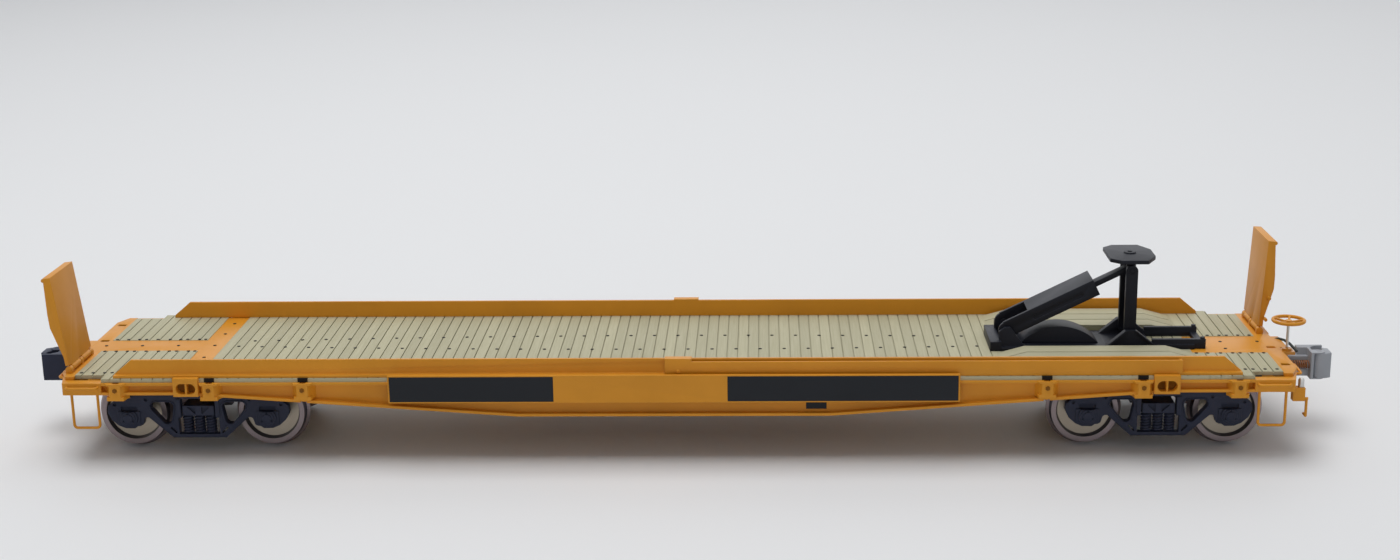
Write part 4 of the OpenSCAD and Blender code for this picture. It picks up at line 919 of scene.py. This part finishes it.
# Blocks are given by length, depth and height, and by how far their faces are sunk
# The stake slot mouths are black blocks, painted shadow where the holes are dark
STAKE_SHADOW = (2.6 * MM, 0.44 * MM, 1.02 * MM, 0.02 * MM)
STAKE_IN = 0.18 * MM
STAKE_DOWN = 0.47 * MM
EDGE_STRIP = (DECK_TO - DECK_FROM, 0.06 * MM, 0.98 * MM, 0.004 * MM)
EDGE_STRIP_IN = 0.02 * MM
EDGE_STRIP_DOWN = 0.5 * MM
# The rope holes' floor plates are dark brown, painted as the shade in the deep holes
ROPE_HOLE = (4.96 * MM, 2.76 * MM, 0.08 * MM)
ROPE_HOLE_IN = 2.22 * MM
ROPE_HOLE_Z = 19.35 * MM + TREAD_Z


class FLATCAR_OT_side_holes(bpy.types.Operator):
    """Fits the pocket bolts, black blocks painted as the shadow in each stake slot's mouth, the
    deck's edge strips, and dark brown plates painted as the shade on each rope hole's floor
    """
    bl_idname = "flatcar.side_holes"
    bl_label = "Side holes"

    def execute(self, context):
        # The pocket bolts take the dark brown that is also painted as the shade on each rope hole's
        # floor
        places = [at(end * x, side * (SILL_FACE - BOLT_SEAT), BOLT_Z, turned(-90 * side, "X"))
                  for x in POCKET_X for end in SIDES for side in SIDES]
        bolts = copies(hex_bolt(sizes().bolt_radius, BOLT_HEIGHT), places, "pocket_bolts")
        dress(bolts, "car", "recess_paint", "body_orange")

        # Black blocks painted as the shadow in the mouth of each stake slot
        places = [at(end * x, side * (DECK_EDGE - STAKE_IN), DECK_TOP - STAKE_DOWN)
                  for x in POCKET_X[:2] for end in SIDES for side in SIDES]
        mouth_shadows = copies(sunk_block(*STAKE_SHADOW), places, "stake_slots")
        dress(mouth_shadows, "car", "nail_black", "black_paint")

        halfway = middle("main_deck").x
        places = [at(halfway, side * (DECK_EDGE - EDGE_STRIP_IN), DECK_TOP - EDGE_STRIP_DOWN)
                  for side in SIDES]
        strips = copies(sunk_block(*EDGE_STRIP), places, "deck_edge_strips")
        dress(strips, "car", "planks", "deck_wood")

        # Dark brown plates painted as the shade on each rope hole's floor
        places = [at(TRUCK_X[end], side * (SILL_FACE - ROPE_HOLE_IN), ROPE_HOLE_Z)
                  for end in "ab" for side in SIDES]
        shade_plates = copies(hole_floor(*ROPE_HOLE), places, "rope_hole_floors")
        dress(shade_plates, "car", "recess_paint", "body_orange")
        return {"FINISHED"}


# The windows' corner centres from the truck's middle, their rounding, and the frame's face in Y
WINDOW_CORNERS = [(11.16 * MM, 2.94 * MM), (7.56 * MM, 2.88 * MM), (8.21 * MM, -0.55 * MM)]
WINDOW_ROUND = 1.2 * MM
FRAME_FACE = 21.3 * MM


class FLATCAR_OT_window_beads(bpy.types.Operator):
    """Lays the raised bead round each window of the truck side frames"""
    bl_idname = "flatcar.window_beads"
    bl_label = "Window beads"

    def execute(self, context):
        radius = sizes().bead_radius
        loop = round_loop(WINDOW_CORNERS, WINDOW_ROUND + radius)
        for end in "ab":
            bead = drawn_wire([(x, 0, z) for x, z in loop], radius, closed=True)
            places = [at(TRUCK_X[end], side * FRAME_FACE, AXLE_Z, turned(turn, "Z"))
                      for side in SIDES for turn in (0, 180)]
            piece = copies(bead, places, f"truck_{end}_window_beads")
            dress(piece, f"truck_{end}", "truck_casting", "truck_black", angle=WIRE_ANGLE)
        return {"FINISHED"}


# Places of the small fittings, in millimetres from the car's middle and the treads' bottom
ROD_ROUTE = [(157.5, 3.4, 21.2), (158.4, 2.5, 21.7), (159.4, 0.6, 21.85), (160.2, -1.7, 21.6),
             (160.9, -3.9, 20.9), (161.3, -5.1, 20.45)]
STUD = (157.2, -25.6, 17.65)
# Black plates painted as the shadow on the floor of each end slot
SLOT_SHADOWS = [(-154.6, 19.7, 20.76), (-154.6, 4.8, 20.76), (154.6, -19.7, 20.76)]
PATCH = (36.0, -28.2, 13.84)
# Sizes of the small fittings
ROD_RADIUS = 0.36 * MM
STUD_RADIUS, STUD_HEIGHT, STUD_ROOT = 0.75 * MM, 1.7 * MM, 0.1 * MM
SLOT_SHADOW = (2.1 * MM, 0.14 * MM, 1.4 * MM, 0.03 * MM)
PATCH_BLOCK = (5.15 * MM, 0.10 * MM, 1.78 * MM, 0.01 * MM)


def over_tread(x, y, z):
    """A place in metres, from millimetres with Z from the treads' bottom."""
    return x * MM, y * MM, z * MM + TREAD_Z


class FLATCAR_OT_end_fittings(bpy.types.Operator):
    """Adds the release rod and the stud, black plates painted as the shadow on the end slot floor,
    and the sill's blank patch
    """
    bl_idname = "flatcar.end_fittings"
    bl_label = "End fittings"

    def execute(self, context):
        rod = drawn_wire([over_tread(*point) for point in ROD_ROUTE], ROD_RADIUS)
        rod.name = rod.data.name = "release_rod"
        dress(rod, "car", "rod_green", "body_orange", angle=WIRE_ANGLE)

        stud = domed_head(STUD_RADIUS, STUD_HEIGHT, sides=20, root=STUD_ROOT)
        stud = copies(stud, [at(*over_tread(*STUD))], "lever_stud")
        dress(stud, "car", "bright_steel", "wheel_steel")

        # Black plates painted as the shadow on the end slot floor
        places = [at(*over_tread(*spot), turned(90, "X")) for spot in SLOT_SHADOWS]
        shade_plates = copies(sunk_block(*SLOT_SHADOW), places, "end_slot_floors")
        dress(shade_plates, "car", "nail_black", "black_paint")

        patch = copies(sunk_block(*PATCH_BLOCK), [at(*over_tread(*PATCH))], "sill_patch")
        dress(patch, "car", "panel_black", "black_paint")
        return {"FINISHED"}


# Each lamp: its place, its width and the setting that holds its power
LAMPS = {
    "key_lamp": ((-0.15, 0.0, 1.3), 1.3, "key"),
    "fill_lamp": ((0.45, -1.25, 0.55), 1.1, "fill"),
    "back_lamp": ((0.1, 1.1, 0.75), 1.2, "back"),
}
LAMP_DEPTH = 0.6
FLOOR_WIDTH = 14.0
SKY_COLOUR = (0.95, 0.97, 1.0, 1.0)
SKY_SEEN = 0.94
SENSOR_WIDTH = 36.0


class FLATCAR_OT_stage(bpy.types.Operator):
    """Lays the pale floor and sets the lamps, the sky and the camera"""
    bl_idname = "flatcar.stage"
    bl_label = "Stage"

    def execute(self, context):
        view = context.scene.flat_car_view
        clear_selection()
        bpy.ops.mesh.primitive_plane_add(size=FLOOR_WIDTH, location=(0, 0, 0))
        floor = context.object
        floor.name = "studio_floor"
        bench, place = start_finish("studio_floor")
        slow = bench.noise(place, 3.0, 2.0)
        shown = bench.mix(slow, rgb(colours().floor, 0.985), rgb(colours().floor))
        end_finish(bench, shown, 0.6, slow, 0.0, specular=0.2)
        floor.data.materials.append(bpy.data.materials["studio_floor"])
        for name, (place, width, power) in LAMPS.items():
            self.lamp(name, place, getattr(view, power), width)
        self.sky(context, view.sky)
        self.camera(context, view)
        context.scene.view_settings.view_transform = "Standard"
        return {"FINISHED"}

    def lamp(self, name, place, power, width):
        clear_selection()
        bpy.ops.object.light_add(type="AREA", location=place)
        lamp = bpy.context.object
        lamp.name = name
        lamp.data.shape = "RECTANGLE"
        lamp.data.size, lamp.data.size_y = width, width * LAMP_DEPTH
        lamp.data.energy = power
        lamp.rotation_euler = (-Vector(place)).to_track_quat("-Z", "Y").to_euler()

    def sky(self, context, strength):
        world = bpy.data.worlds.new("studio_sky")
        context.scene.world = world
        world.use_nodes = True
        world.node_tree.nodes.clear()
        bench = Bench(world.node_tree)
        path = bench.add("ShaderNodeLightPath").outputs
        seen = bench.math("MAXIMUM", path["Is Camera Ray"],
                          bench.math("MAXIMUM", path["Is Glossy Ray"], path["Is Transmission Ray"]))
        level = bench.span(seen, 0.0, 1.0, strength, SKY_SEEN)
        back = bench.add("ShaderNodeBackground", {"Color": SKY_COLOUR, "Strength": level})
        out = bench.add("ShaderNodeOutputWorld")
        bench.feed(back.outputs[0], out.inputs["Surface"])

    def camera(self, context, view):
        clear_selection()
        bpy.ops.object.camera_add(location=view.eye)
        camera = context.object
        camera.name = "photo_view"
        yaw, pitch, roll = view.yaw, view.pitch, view.roll
        level = math.cos(pitch)
        ahead = Vector((math.sin(yaw) * level, math.cos(yaw) * level, -math.sin(pitch)))
        right = Vector((math.cos(yaw), -math.sin(yaw), 0.0))
        up = right.cross(ahead)
        side = right * math.cos(roll) + up * math.sin(roll)
        top = up * math.cos(roll) - right * math.sin(roll)
        turn = Matrix((side, top, -ahead)).transposed().to_4x4()
        camera.matrix_world = Matrix.Translation(Vector(view.eye)) @ turn
        camera.data.sensor_fit = "HORIZONTAL"
        camera.data.sensor_width = SENSOR_WIDTH
        camera.data.lens = view.lens
        camera.data.clip_start, camera.data.clip_end = 0.01, 50.0
        context.scene.camera = camera


class FLATCAR_PT_looks(bpy.types.Panel):
    """Lists the steps that dress the car"""
    bl_idname = "FLATCAR_PT_looks"
    bl_label = "Flat Car"
    bl_space_type = "VIEW_3D"
    bl_region_type = "UI"
    bl_category = "Flat Car"

    def draw(self, context):
        for step in STEPS:
            self.layout.operator(step.bl_idname)
        for group in ("flat_car_sizes", "flat_car_colours", "flat_car_view"):
            settings = getattr(context.scene, group)
            box = self.layout.box()
            for key in settings.__annotations__:
                box.prop(settings, key)


STEPS = (FLATCAR_OT_finishes, FLATCAR_OT_soft_edges, FLATCAR_OT_deck_nails,
         FLATCAR_OT_strip_rivets, FLATCAR_OT_truck_springs, FLATCAR_OT_coupler_springs,
         FLATCAR_OT_side_holes, FLATCAR_OT_window_beads, FLATCAR_OT_end_fittings, FLATCAR_OT_stage)
CLASSES = (FlatCarSizes, FlatCarColours, FlatCarView) + STEPS + (FLATCAR_PT_looks,)


def register():
    for cls in CLASSES:
        bpy.utils.register_class(cls)
    bpy.types.Scene.flat_car_sizes = PointerProperty(type=FlatCarSizes)
    bpy.types.Scene.flat_car_colours = PointerProperty(type=FlatCarColours)
    bpy.types.Scene.flat_car_view = PointerProperty(type=FlatCarView)


def unregister():
    del bpy.types.Scene.flat_car_view
    del bpy.types.Scene.flat_car_colours
    del bpy.types.Scene.flat_car_sizes
    for cls in reversed(CLASSES):
        bpy.utils.unregister_class(cls)


def main():
    """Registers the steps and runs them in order."""
    register()
    bpy.ops.flatcar.finishes()
    bpy.ops.flatcar.soft_edges()
    bpy.ops.flatcar.deck_nails()
    bpy.ops.flatcar.strip_rivets()
    bpy.ops.flatcar.truck_springs()
    bpy.ops.flatcar.coupler_springs()
    bpy.ops.flatcar.side_holes()
    bpy.ops.flatcar.window_beads()
    bpy.ops.flatcar.end_fittings()
    bpy.ops.flatcar.stage()


if __name__ == "__main__":
    main()
